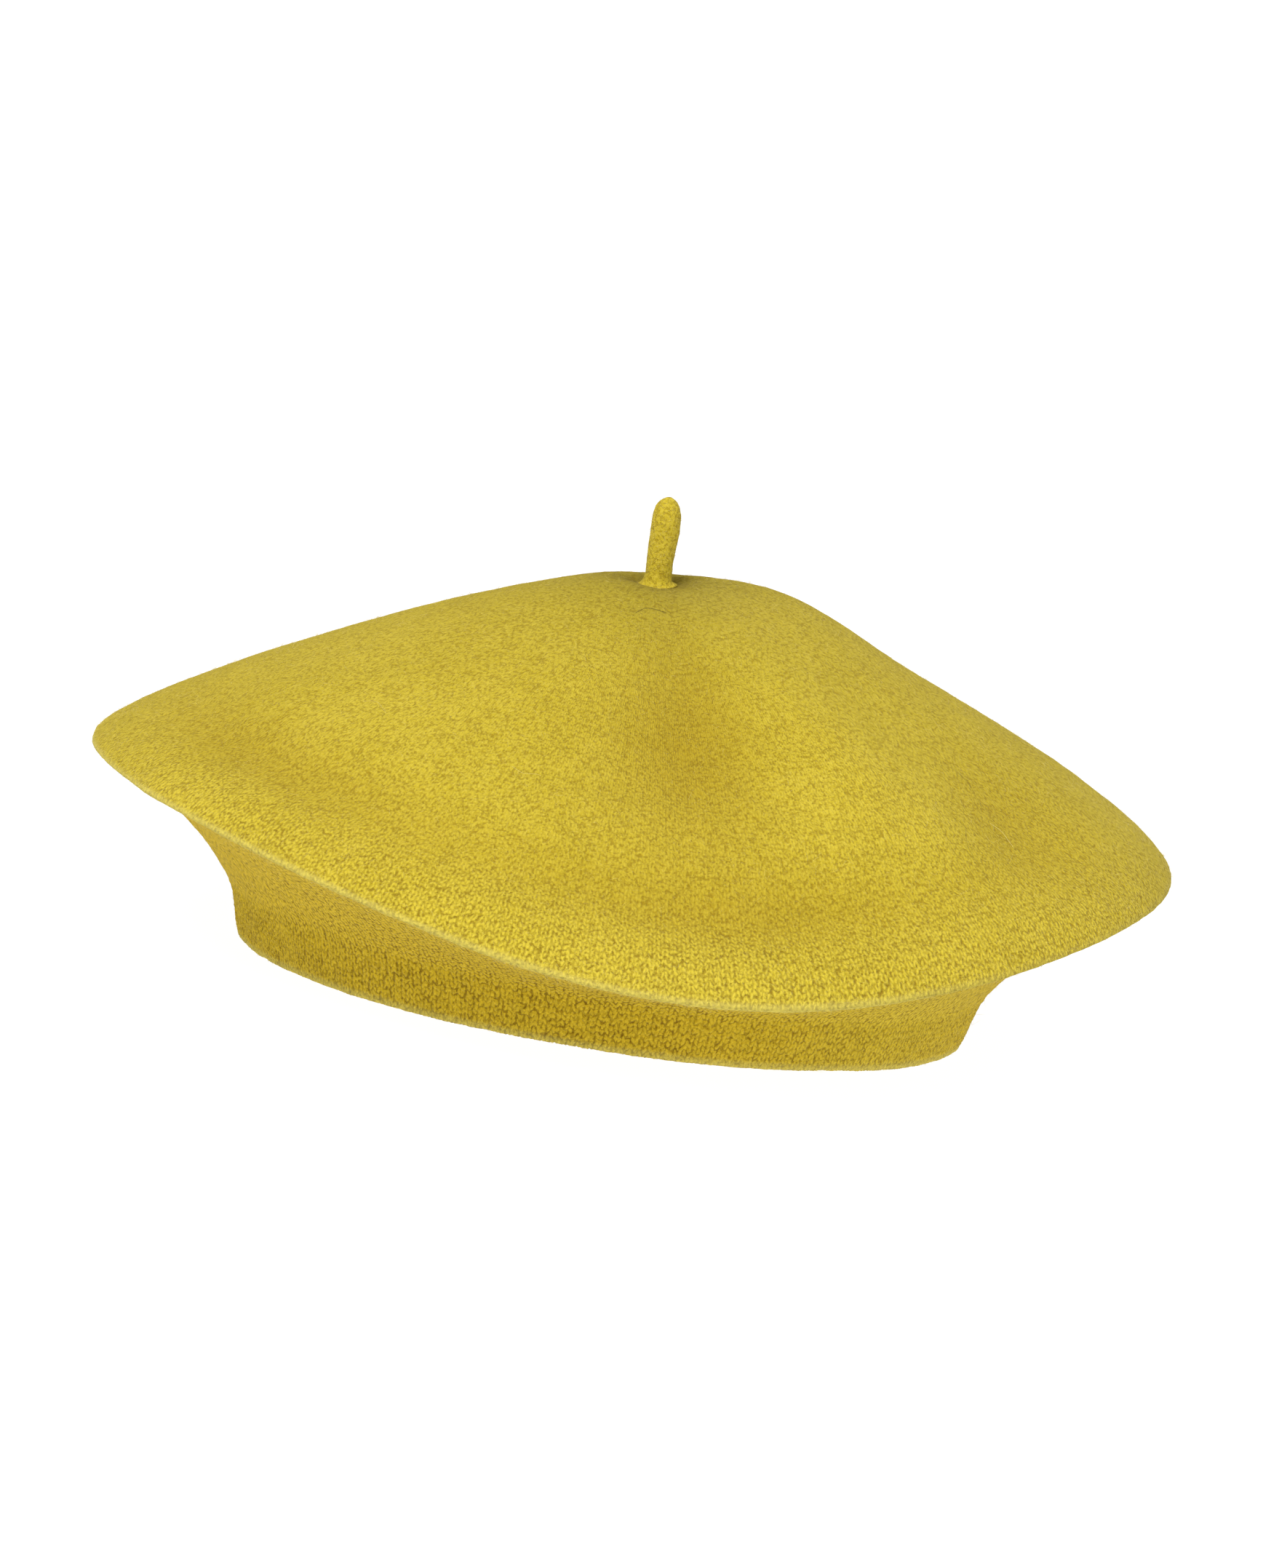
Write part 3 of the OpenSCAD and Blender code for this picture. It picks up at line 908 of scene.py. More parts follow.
def closed_faces(size, count):
    """Faces of a closed tube of rings, with how far round and how far across each corner lies."""
    k, j = [a.ravel() for a in np.meshgrid(np.arange(size), np.arange(count), indexing="ij")]
    here, after = k * count, (k + 1) % size * count
    beside = (j + 1) % count
    quads = np.stack([here + j, after + j, after + beside, here + beside], -1)
    turns = np.stack([j, j, j + 1, j + 1], -1) / count
    across = np.stack([k, k + 1, k + 1, k], -1) / size
    return quads, turns, across


def crown_middle():
    """The middle of the crown in two rings of rows, each with fewer points round than the last."""
    blocks = []
    high = 0.5
    for low, count, spacing in ((0.25, FINE // 2, 0.95), (HOLE_R / DISC_R, FINE // 4, 0.75)):
        shares = crown_rows(low, high, spacing)[::-1][1:]
        angle = np.arange(count) * 360 / count
        base = crown_point(angle[None, :], shares[:, None])
        outward = -skin_normals(base.reshape(-1, 3), [grid_faces(len(base), count)[0]]).reshape(base.shape)
        blocks.append((shares, base + outward * felt_relief(base)[..., None], outward))
        high = low
    return blocks


def crown_top_piece(skin, points, normals, values, material):
    """The crown's top: fine outer rows, coarser rows in the middle, and the face inside."""
    b = Builder()
    last = skin["fold_row"] + 1
    first = b.add_points(points[:last], normals[:last], **{k: v[:last] for k, v in values.items()})
    run = skin["run"]
    faces, row, col = grid_faces(last, FINE)
    spread = np.concatenate([[DISC_R * 0.5], DISC_R * 0.5 + np.cumsum(np.diff(run[:last]))])
    reach = spread[-1]

    def disc(radius, turn, centre=0.41, size=0.40):
        ang = turn * 2 * math.pi
        share = radius / reach
        return np.stack([centre + size * share * np.cos(ang), centre + size * share * np.sin(ang)], -1)

    course = (run - run[skin["top_row"]]) / COURSE
    b.add_faces(faces, disc(spread[row], col / FINE), np.stack([col / FINE * CROWN_WALES, course[row]], -1))
    ring_first, ring_count, ring_share, ring_course = first, FINE, 0.5, course[0]
    for shares, moved, _outward in crown_middle():
        count = moved.shape[1]
        grid, row, col = grid_faces(len(moved), count)
        # Painted shade in the hollows of the crown's dents
        hollow = np.clip(-folds(np.arange(count) * 360 / count, shares[:, None]) / 5, 0, 1)
        block = b.add_points(moved, None, knit_amount=0.30, hollow_shade=hollow)
        step, turns = step_faces(ring_first, block, count, ring_count // count)
        radii = np.full(step.shape, ring_share * DISC_R)
        radii[:, [0, -1]] = shares[0] * DISC_R
        courses = np.full(step.shape, ring_course)
        b.add_faces(step, disc(radii, turns), np.stack([turns * CROWN_WALES, courses], -1))
        faces = grid + block
        radius = shares * DISC_R
        fall = ring_course - (ring_share - shares) * DISC_R / COURSE
        knit = np.stack([col / count * CROWN_WALES, fall[row]], -1)
        b.add_faces(faces, disc(radius[row], col / count), knit, flip=True)
        ring_first, ring_count = block + (len(moved) - 1) * count, count
        ring_share, ring_course = shares[-1], fall[-1]
    inner_shares = crown_rows(HOLE_R / DISC_R, 1.0, INNER_ROW)
    angle = np.arange(COARSE) * 360 / COARSE
    inner = crown_point(angle[None, :], inner_shares[:, None], FELT)
    block = b.add_points(inner, None)
    grid, row, col = grid_faces(len(inner), COARSE)
    radius = inner_shares * DISC_R

    def inner_disc(row_values, turn):
        return disc(row_values * reach / DISC_R, turn, 0.83, 0.16)

    b.add_faces(grid + block, inner_disc(radius[row], col / COARSE),
                np.stack([col / COARSE * CROWN_WALES, radius[row] / COURSE], -1), flip=True)
    inner_edge = block + (len(inner) - 1) * COARSE
    strip, turns = step_faces(first + (last - 1) * FINE, inner_edge, COARSE, FINE // COARSE)
    b.add_faces(strip, inner_disc(np.full(strip.shape, DISC_R), turns),
                np.stack([turns * CROWN_WALES, 0 * turns], -1), flip=True)
    hole, turns = step_faces(block, ring_first, ring_count, COARSE // ring_count)
    hole_bake = inner_disc(np.full(hole.shape, HOLE_R), turns)
    b.add_faces(hole, hole_bake, np.stack([turns, 0 * turns], -1), flip=True)
    return b.finish("crown_top_felt", material)


def under_piece(skin, points, normals, values, material):
    """The crown's underside, from the fold line back to the headband."""
    b = Builder()
    rows = slice(skin["fold_row"], skin["top_row"] + 1)
    count = skin["top_row"] + 1 - skin["fold_row"]
    first = b.add_points(points[rows], normals[rows], **{k: v[rows] for k, v in values.items()})
    faces, row, col = grid_faces(count, FINE)
    run = skin["run"][rows]
    across = (run - run[0]) / (run[-1] - run[0])
    course = (run - skin["run"][skin["top_row"]]) / COURSE
    outer, inner_area = (0.0, 0.0, 1.0, 0.76), (0.0, 0.78, 1.0, 1.0)
    b.add_faces(faces, strip_uv(col / FINE, across[row], 4, 1, outer),
                np.stack([col / FINE * BAND_WALES, course[row]], -1))
    along = under_rows(INNER_ROW, FELT)
    angle = np.arange(COARSE) * 360 / COARSE
    inner = under_point(angle[None, :], along[:, None], FELT)
    # The inside face of the underside gets some painted shade
    block = b.add_points(inner, None, depth_shade=0.3)
    grid, row, col = grid_faces(len(inner), COARSE)
    steps = np.linspace(0, 1, len(inner))
    b.add_faces(grid + block, strip_uv(col / COARSE, steps[row], 4, 2, inner_area),
                np.stack([col / COARSE * BAND_WALES, steps[row] * 40], -1), flip=True)
    for outer_ring, inner_ring, flip, place in (
        (first, block, False, 0.0),
        (first + (count - 1) * FINE, block + (len(inner) - 1) * COARSE, True, 1.0),
    ):
        strip, turns = step_faces(outer_ring, inner_ring, COARSE, FINE // COARSE)
        b.add_faces(strip, strip_uv(turns, np.full(turns.shape, place), 4, 2, inner_area),
                    np.stack([turns * BAND_WALES, 0 * turns], -1), flip=flip)
    return b.finish("crown_underside_felt", material)


def headband_piece(skin, points, normals, values, material):
    """The knitted headband with its hem turned up inside, and the tunnel that the elastic lies in."""
    b = Builder()
    rows = slice(skin["top_row"], None)
    count = len(points) - skin["top_row"]
    first = b.add_points(points[rows], normals[rows], **{k: v[rows] for k, v in values.items()})
    faces, row, col = grid_faces(count, FINE)
    run = skin["run"][rows] - skin["run"][skin["top_row"]]
    skin_area, tunnel_area = (0.0, 0.0, 1.0, 0.9), (0.0, 0.91, 1.0, 1.0)
    b.add_faces(faces, strip_uv(col / FINE, run[row] / run[-1], 8, 2, skin_area),
                np.stack([col / FINE * BAND_WALES, run[row] / COURSE], -1))
    last = first + (count - 1) * FINE
    i = np.arange(FINE)
    seat = np.stack([last + i, first + i, first + (i + 1) % FINE, last + (i + 1) % FINE], -1)
    turns = np.stack([i, i, i + 1, i + 1], -1) / FINE
    b.add_faces(seat, strip_uv(turns, np.ones(turns.shape), 8, 2, skin_area),
                np.stack([turns * BAND_WALES, 0 * turns], -1))
    tunnel_r = HEAD_R + FELT + 0.5
    half = arc((tunnel_r, FELT + 0.5), 0.5, 180, 360, 9)
    ceiling = [[BAND_TOP_R - FELT * 1.5, BAND_H - FELT], [HEAD_R + FELT, HEM_FACE - FELT / 2]]
    loop = np.concatenate([half, ceiling])
    ring = ring_of(np.concatenate([loop, loop[:1]]), COARSE)[:-1]
    # The tunnel inside the hem gets full painted shade
    block = b.add_points(ring, None, depth_shade=1.0)
    quads, turns, across = closed_faces(len(ring), COARSE)
    b.add_faces(quads + block, strip_uv(turns, across, 2, 2, tunnel_area),
                np.stack([turns * BAND_WALES, across * 20], -1))
    return b.finish("headband_knit", material)


# ---------------------------------------------------------------- tubes, cords and fibres


def unit(vectors):
    return vectors / np.maximum(np.linalg.norm(vectors, axis=-1, keepdims=True), 1e-9)


def tube(path, radii, sides=8, plies=0, pitch=2.2, depth=0.2):
    """Points and faces of a closed tube along a path; plies twist it like yarn."""
    path = np.asarray(path, dtype=float)
    forward = unit(np.gradient(path, axis=0))
    run = np.concatenate([[0], np.cumsum(np.linalg.norm(np.diff(path, axis=0), axis=1))])
    turn = np.arange(sides) * 2 * math.pi / sides
    side = np.cross(forward[0], (0.31, 0.52, 0.79))
    rings = []
    for centre, ahead, radius, far in zip(path, forward, np.broadcast_to(radii, len(path)), run):
        side = side - ahead * np.dot(side, ahead)
        side = side / np.linalg.norm(side)
        other = np.cross(ahead, side)
        twist = 2 * math.pi * far / (pitch * max(plies, 1))
        swell = 1 + depth * np.cos(plies * (turn - twist)) if plies else 1 + 0 * turn
        ring = np.cos(turn)[:, None] * side + np.sin(turn)[:, None] * other
        rings.append(centre + ring * (radius * swell)[:, None])
    quads = grid_faces(len(path), sides)[0][:, ::-1]
    start = np.arange(sides)[None, :]
    end = (len(path) - 1) * sides + np.arange(sides)[None, ::-1]
    return np.concatenate(rings), quads, np.concatenate([start, end])


def tubes_piece(name, tubes, material, values=None):
    """One mesh of many tubes that all have the same number of sides."""
    points, quads, caps, tones = [], [], [], []
    total = 0
    for n, (pts, body, ends) in enumerate(tubes):
        points.append(pts)
        quads.append(body + total)
        caps.append(ends + total)
        tones.append(np.full(len(pts), values[n] if values is not None else 0.5))
        total += len(pts)
    mesh = make_mesh(name, np.concatenate(points), [np.concatenate(quads), np.concatenate(caps)])
    set_values(mesh, "fibre_tone", np.concatenate(tones))
    return add_object(name, mesh, material)


def stitch_path(middle, ahead, out, length, proud, sunk, steps=11):
    """A stitch over a surface: it arches at its middle, and both ends dive in."""
    u = np.linspace(-1, 1, steps)[:, None]
    lift = proud - (proud + sunk) * np.abs(u) ** 3.5
    return middle + ahead * (u * length / 2) + out * lift


def scatter_on(grids, count, rng, weight):
    """Random places and normals on closed grids, by area times a weight."""
    sizes = []
    for points, _normals in grids:
        nxt, turn = points[1:], np.roll(points, -1, axis=1)
        area = np.linalg.norm(np.cross(nxt - points[:-1], turn[:-1] - points[:-1]), axis=-1)
        sizes.append((area * weight(points[:-1])).ravel())
    chance = np.concatenate(sizes)
    pick = rng.choice(len(chance), size=count, p=chance / chance.sum())
    starts = np.cumsum([0] + [len(x) for x in sizes])
    roots, outs = [], []
    for k, (points, normals) in enumerate(grids):
        mine = pick[(pick >= starts[k]) & (pick < starts[k + 1])] - starts[k]
        i, j = np.divmod(mine, points.shape[1])
        j2 = (j + 1) % points.shape[1]
        u, v = rng.random((2, len(mine), 1))
        low = points[i, j] * (1 - v) + points[i, j2] * v
        high = points[i + 1, j] * (1 - v) + points[i + 1, j2] * v
        roots.append(low * (1 - u) + high * u)
        outs.append(normals[i, j])
    return np.concatenate(roots), unit(np.concatenate(outs))


def fibres_piece(name, roots, outs, rng, length, thickness, material, rise=(0.1, 0.75)):
    """Short curved fibres that lie near a surface, each a closed sliver with three sides."""
    n = len(roots)
    lie = unit(np.cross(outs, rng.normal(size=(n, 3))))
    side = np.cross(outs, lie)
    up = rng.uniform(*rise, (n, 1))
    long = length * np.exp(rng.normal(0, 0.38, (n, 1)))
    bend = rng.normal(0, 0.8, (n, 1))
    first = unit(lie * np.cos(up) + outs * np.sin(up))
    second = unit(first + side * bend * 0.6 + outs * rng.normal(-0.15, 0.35, (n, 1)))
    third = unit(second + side * bend * 0.6 + outs * rng.normal(-0.25, 0.4, (n, 1)))
    spots = [roots - outs * 0.12]
    for step in (first, second, third):
        spots.append(spots[-1] + step * long / 3)
    rings = []
    for spot, ahead, share in zip(spots, (first, first, second, third), (1.0, 1.0, 0.8, 0.35)):
        a = unit(np.cross(ahead, side + 0.01))
        b = np.cross(ahead, a)
        for turn in (0, 2 * math.pi / 3, 4 * math.pi / 3):
            rings.append(spot + (a * math.cos(turn) + b * math.sin(turn)) * thickness / 2 * share)
    points = np.stack(rings, 1).reshape(-1, 3)
    points[:, 2] = np.maximum(points[:, 2], 0.0)
    first_of = np.arange(n)[:, None] * 12
    quads = [first_of + np.array([[3 * k + j, 3 * k + (j + 1) % 3, 3 * k + 3 + (j + 1) % 3, 3 * k + 3 + j]])
             for k in range(3) for j in range(3)]
    ends = [first_of + np.array([[2, 1, 0]]), first_of + np.array([[9, 10, 11]])]
    mesh = make_mesh(name, points, [np.concatenate(quads), np.concatenate(ends)])
    set_values(mesh, "fibre_tone", np.repeat(rng.random(n), 12))
    return add_object(name, mesh, material)


# ---------------------------------------------------------------- operators

MADE = {}


def settings():
    scene = bpy.context.scene
    return scene.beret_felt, scene.beret_trim, scene.beret_fuzz, scene.beret_studio


def stalk_x():
    return STALK_HINGE["pos_m"][0] / MM


class BERET_OT_felt_body(bpy.types.Operator):
    """Crown, its underside and the knitted headband, made as one continuous skin"""

    bl_idname = "beret.felt_body"
    bl_label = "Felt body"

    def execute(self, context):
        felt = settings()[0]
        material = felt_material("Fulled yellow knit", felt)
        skin = felt_skin(felt.row / MM, felt.stitch_height / MM)
        points, normals, values = finished_skin(skin)
        MADE["skin"] = (skin, points, normals)
        for build, node in (
            (crown_top_piece, "crown_top"),
            (under_piece, "crown_underside"),
            (headband_piece, "headband"),
        ):
            piece = build(skin, points, normals, values, material)
            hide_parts(node)
            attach(piece, "hat")
        return {"FINISHED"}


def stalk_rings():
    """Rings of the stalk's skin: its spread foot, waist, fuller upper part and round tip with its pit."""
    heights = np.array([0.0, 0.5, 1.3, 2.6, 4.6, 7.5, 11.0, 14.0, 16.5, 18.6, 20.4, 21.6, 22.3, 22.75, 22.95])
    radii = np.array(
        [5.2, 4.35, 3.75, 3.42, 3.34, 3.38, 3.62, 3.82, 3.84, 3.64, 3.12, 2.42, 1.68, 0.94, 0.42]
    )
    lean = np.array(
        [0.30, 0.25, 0.20, 0.16, 0.10, 0.0, 0.02, 0.05, 0.0, -0.06, -0.10, -0.10, -0.08, -0.06, -0.04]
    )
    fine = along_path(np.stack([radii, heights, lean], -1), 0.32)
    turn = np.arange(STALK_SIDES) * 2 * math.pi / STALK_SIDES
    r, z, shift = fine[:, 0][:, None], fine[:, 1][:, None], fine[:, 2][:, None]
    x = stalk_x() + shift + r * np.cos(turn)
    y = r * np.sin(turn) * 0.98
    points = np.stack(np.broadcast_arrays(x, y, STALK_FOOT_Z + z), -1)
    outward = unit(np.stack(np.broadcast_arrays(np.cos(turn), np.sin(turn), 0 * x), -1))
    body = ramp(z, 0.4, 3.0) * (1 - ramp(z, 21.0, 22.6))
    relief = 0.16 * LUMPS.at(points, 6.0) + 0.10 * CLUMPS.at(points, 2.6) + 0.05 * TUFTS.at(points, 1.1)
    points = points + outward * (relief * body)[..., None]
    share = np.maximum(np.hypot(points[0, :, 0] - stalk_x(), points[0, :, 1]), 1.0) / DISC_R
    around = np.degrees(np.arctan2(points[0, :, 1], points[0, :, 0] - stalk_x()))
    seat = crown_point(around, share)[:, 2] + 0.02
    foot = 1 - ramp(z, 0.0, 2.2)
    points[..., 2] += foot * (seat - STALK_FOOT_Z)[None, :]
    return points


class BERET_OT_stalk(bpy.types.Operator):
    """Felted stalk that grows out of the crown, and its spread end sewn down inside"""

    bl_idname = "beret.stalk"
    bl_label = "Stalk"

    def execute(self, context):
        felt = settings()[0]
        material = felt_material("Fulled yellow cord", felt, knit=False)
        points = stalk_rings()
        rows, count = points.shape[:2]
        faces, row, col = grid_faces(rows, count)
        flat = points.reshape(-1, 3)
        tip = np.array([[stalk_x() - 0.04, 0.0, STALK_FOOT_Z + 22.70]])
        base = np.array([[stalk_x(), 0.0, points[0, :, 2].min() - 0.4]])
        everything = np.concatenate([flat, tip, base])
        i = np.arange(count)
        top = np.stack([(rows - 1) * count + i, (rows - 1) * count + (i + 1) % count, 0 * i + len(flat)], -1)
        bottom = np.stack([(i + 1) % count, i, 0 * i + len(flat) + 1], -1)
        height = np.linspace(0.02, 0.85, rows)
        body_uv = np.stack([col / count * 0.98 + 0.01, height[row]], -1)
        turn = i / count
        after = turn + 1 / count
        top_uv = np.stack([np.stack([turn, after, turn], -1), np.tile([0.86, 0.86, 0.9], (count, 1))], -1)
        low_uv = np.stack([np.stack([after, turn, turn], -1), np.tile([0.95, 0.95, 0.98], (count, 1))], -1)
        mesh = make_mesh("stalk_felt", everything, [faces[:, ::-1], np.concatenate([top, bottom])],
                         {"OFBake": [body_uv[:, ::-1], np.concatenate([top_uv, low_uv])]})
        set_values(mesh, "felt_place", everything * MM, "FLOAT_VECTOR")
        piece = add_object("stalk_felt", mesh, material)
        MADE["stalk"] = points
        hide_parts("stalk")
        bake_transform(piece)
        self.root(material)
        return {"FINISHED"}

    def root(self, material):
        """The spread end inside the crown, pressed flat with a soft edge, and its tail up to the stalk."""
        low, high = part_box("stalk_root")
        bottom = low[2] / MM
        top = high[2] / MM
        reach = (high[0] - low[0]) / MM / 2
        profile = np.array([
            [0.35, bottom + 0.15], [2.5, bottom], [reach - 1.0, bottom + 0.1], [reach - 0.25, bottom + 0.55],
            [reach, bottom + 1.0], [reach - 0.3, bottom + 1.5], [reach - 1.1, bottom + 1.85],
            [3.6, bottom + 2.0], [3.0, bottom + 2.3], [2.95, top - 0.3], [2.5, top - 0.05], [0.35, top],
        ])
        fine = along_path(profile, 0.35)
        sides = STALK_ROOT_SIDES
        ring = ring_of(fine, sides) + np.array([stalk_x(), 0, 0])
        wave = 0.18 * LUMPS.at(ring, 5.0) * ramp(fine[:, 0], 2.8, 5.0)[:, None]
        ring[..., 2] += np.minimum(wave, 0)
        rows = len(ring)
        faces = grid_faces(rows, sides)[0]
        ends = np.stack([np.arange(sides)[::-1], (rows - 1) * sides + np.arange(sides)])
        mesh = make_mesh("stalk_root_felt", ring.reshape(-1, 3), [faces[:, ::-1], ends[:, ::-1]])
        set_values(mesh, "felt_place", ring.reshape(-1, 3) * MM, "FLOAT_VECTOR")
        piece = add_object("stalk_root_felt", mesh, material)
        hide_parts("stalk_root")
        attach(piece, "hat")


class BERET_OT_elastic(bpy.types.Operator):
    """Ribbed elastic in the hem's tunnel"""

    bl_idname = "beret.elastic"
    bl_label = "Hem elastic"

    def execute(self, context):
        trim = settings()[1]
        low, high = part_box("hem_elastic")
        outer = (high[0] - low[0]) / MM / 2
        inner = outer - ELASTIC_THICKNESS
        bottom, top = low[2] / MM, high[2] / MM
        count, rows = ELASTIC_SIDES, ELASTIC_ROWS
        heights = np.linspace(bottom + 0.08, top - 0.08, rows)
        wall = np.stack([np.full(rows, outer - 0.06), heights], -1)
        back = np.stack([np.full(rows, inner + 0.06), heights[::-1]], -1)
        profile = np.concatenate([[[(inner + outer) / 2, bottom]], wall, [[(inner + outer) / 2, top]], back])
        ring = ring_of(profile, count)
        ribs_along = 0.05 * np.cos(np.arange(len(profile)) * math.pi)[:, None]
        rib = ribs_along + 0.03 * np.cos(np.arange(count) * math.pi)
        away = np.zeros(len(profile))
        away[1:rows + 1] = 1
        away[rows + 2:] = -1
        turn = np.arange(count) * 2 * math.pi / count
        radial = np.stack([np.cos(turn), np.sin(turn), 0 * turn], -1)
        ring = ring + radial[None] * (rib * away[:, None])[..., None]
        quads, turns, across = [a[:, [0, 3, 2, 1]] for a in closed_faces(len(profile), count)]
        weave = np.stack([turns * 2 * math.pi * outer * MM, across * 0.0132], -1)
        bake = strip_uv(turns, across, 16, 2, (0, 0, 1, 1))
        maps = {"OFBake": [bake], "WeaveGrid": [weave]}
        mesh = make_mesh("hem_elastic_ribbed", ring.reshape(-1, 3), [quads], maps)
        colours = tuple(trim.tape), tuple(trim.tape_deep)
        material = woven_material("Ribbed elastic", *colours, (1600.0, 3000.0), 1.0)
        piece = add_object("hem_elastic_ribbed", mesh, material)
        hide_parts("hem_elastic")
        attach(piece, "hat")
        return {"FINISHED"}


class BERET_OT_sewing(bpy.types.Operator):
    """Yarn stitches of the hem, of the joining seam and round the stalk's end"""

    bl_idname = "beret.sewing"
    bl_label = "Sewing yarn"

    def execute(self, context):
        trim = settings()[1]
        material = yarn_material("Sewing yarn", tuple(trim.yarn), tuple(trim.yarn_deep))
        radius = trim.yarn_d / MM / 2
        for name, node, paths in (
            ("hem_stitch_yarn", "hem_stitches", self.hem()),
            ("body_seam_yarn", "body_seam", self.seam()),
            ("stalk_stitch_yarn", "stalk_stitches", self.stalk()),
        ):
            tubes = [tube(path, radius, sides=10, plies=2) for path in paths]
            piece = tubes_piece(name, tubes, material)
            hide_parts(node)
            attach(piece, "hat")
        return {"FINISHED"}

    def hem(self):
        """Overcast stitches that lean left and right by turns along the hem's upper edge."""
        count = round(2 * math.pi * HEAD_R / HEM_PITCH)
        rise, reach = BAND_H - HEM_FACE, BAND_TOP_R - FELT - HEAD_R
        slope = math.atan2(rise, reach)
        paths = []
        for i in range(count):
            a = 2 * math.pi * i / count
            radial = np.array([math.cos(a), math.sin(a), 0])
            around = np.array([-math.sin(a), math.cos(a), 0])
            along = radial * math.cos(slope) + np.array([0, 0, math.sin(slope)])
            out = -radial * math.sin(slope) + np.array([0, 0, math.cos(slope)])
            middle = radial * HEAD_R + np.array([0, 0, HEM_FACE]) + along * math.hypot(rise, reach) / 2
            lean = math.radians(15 if i % 2 == 0 else -15)
            ahead = along * math.cos(lean) + around * math.sin(lean)
            paths.append(stitch_path(middle, ahead, out, STITCH_LENGTH, 0.52, 0.35))
        return paths

    def seam(self):
        """Linking stitches inside along one radius, over the crown's top and the underside."""
        a = math.radians(SEAM_ANGLE)
        around = np.array([-math.sin(a), math.cos(a), 0])
        down = np.array([0, 0, -1.0])
        paths = []
        for i in range(1, 18):
            share = (SEAM_START + i * SEAM_PITCH) / DISC_R
            if share < SEAM_END_SHARE:
                middle = crown_point(np.array(SEAM_ANGLE), np.array(share), FELT)
                paths.append(stitch_path(middle, around, down, STITCH_LENGTH, 0.8, 0.5))
        for i in range(1, 5):
            middle = under_point(np.array(SEAM_ANGLE), np.array(i / 6), FELT)
            paths.append(stitch_path(middle, around, -down, STITCH_LENGTH, 0.8, 0.5))
        return paths

    def stalk(self):
        """A star of stitches that holds the stalk's spread end."""
        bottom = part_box("stalk_root")[0][2] / MM
        paths = []
        down = np.array([0, 0, -1.0])
        for i in range(ROOT_STITCHES):
            a = 2 * math.pi * i / ROOT_STITCHES
            radial = np.array([math.cos(a), math.sin(a), 0])
            middle = radial * ROOT_STITCH_R + np.array([stalk_x(), 0, bottom])
            paths.append(stitch_path(middle, radial, down, STITCH_LENGTH, 0.42, 0.6))
        return paths


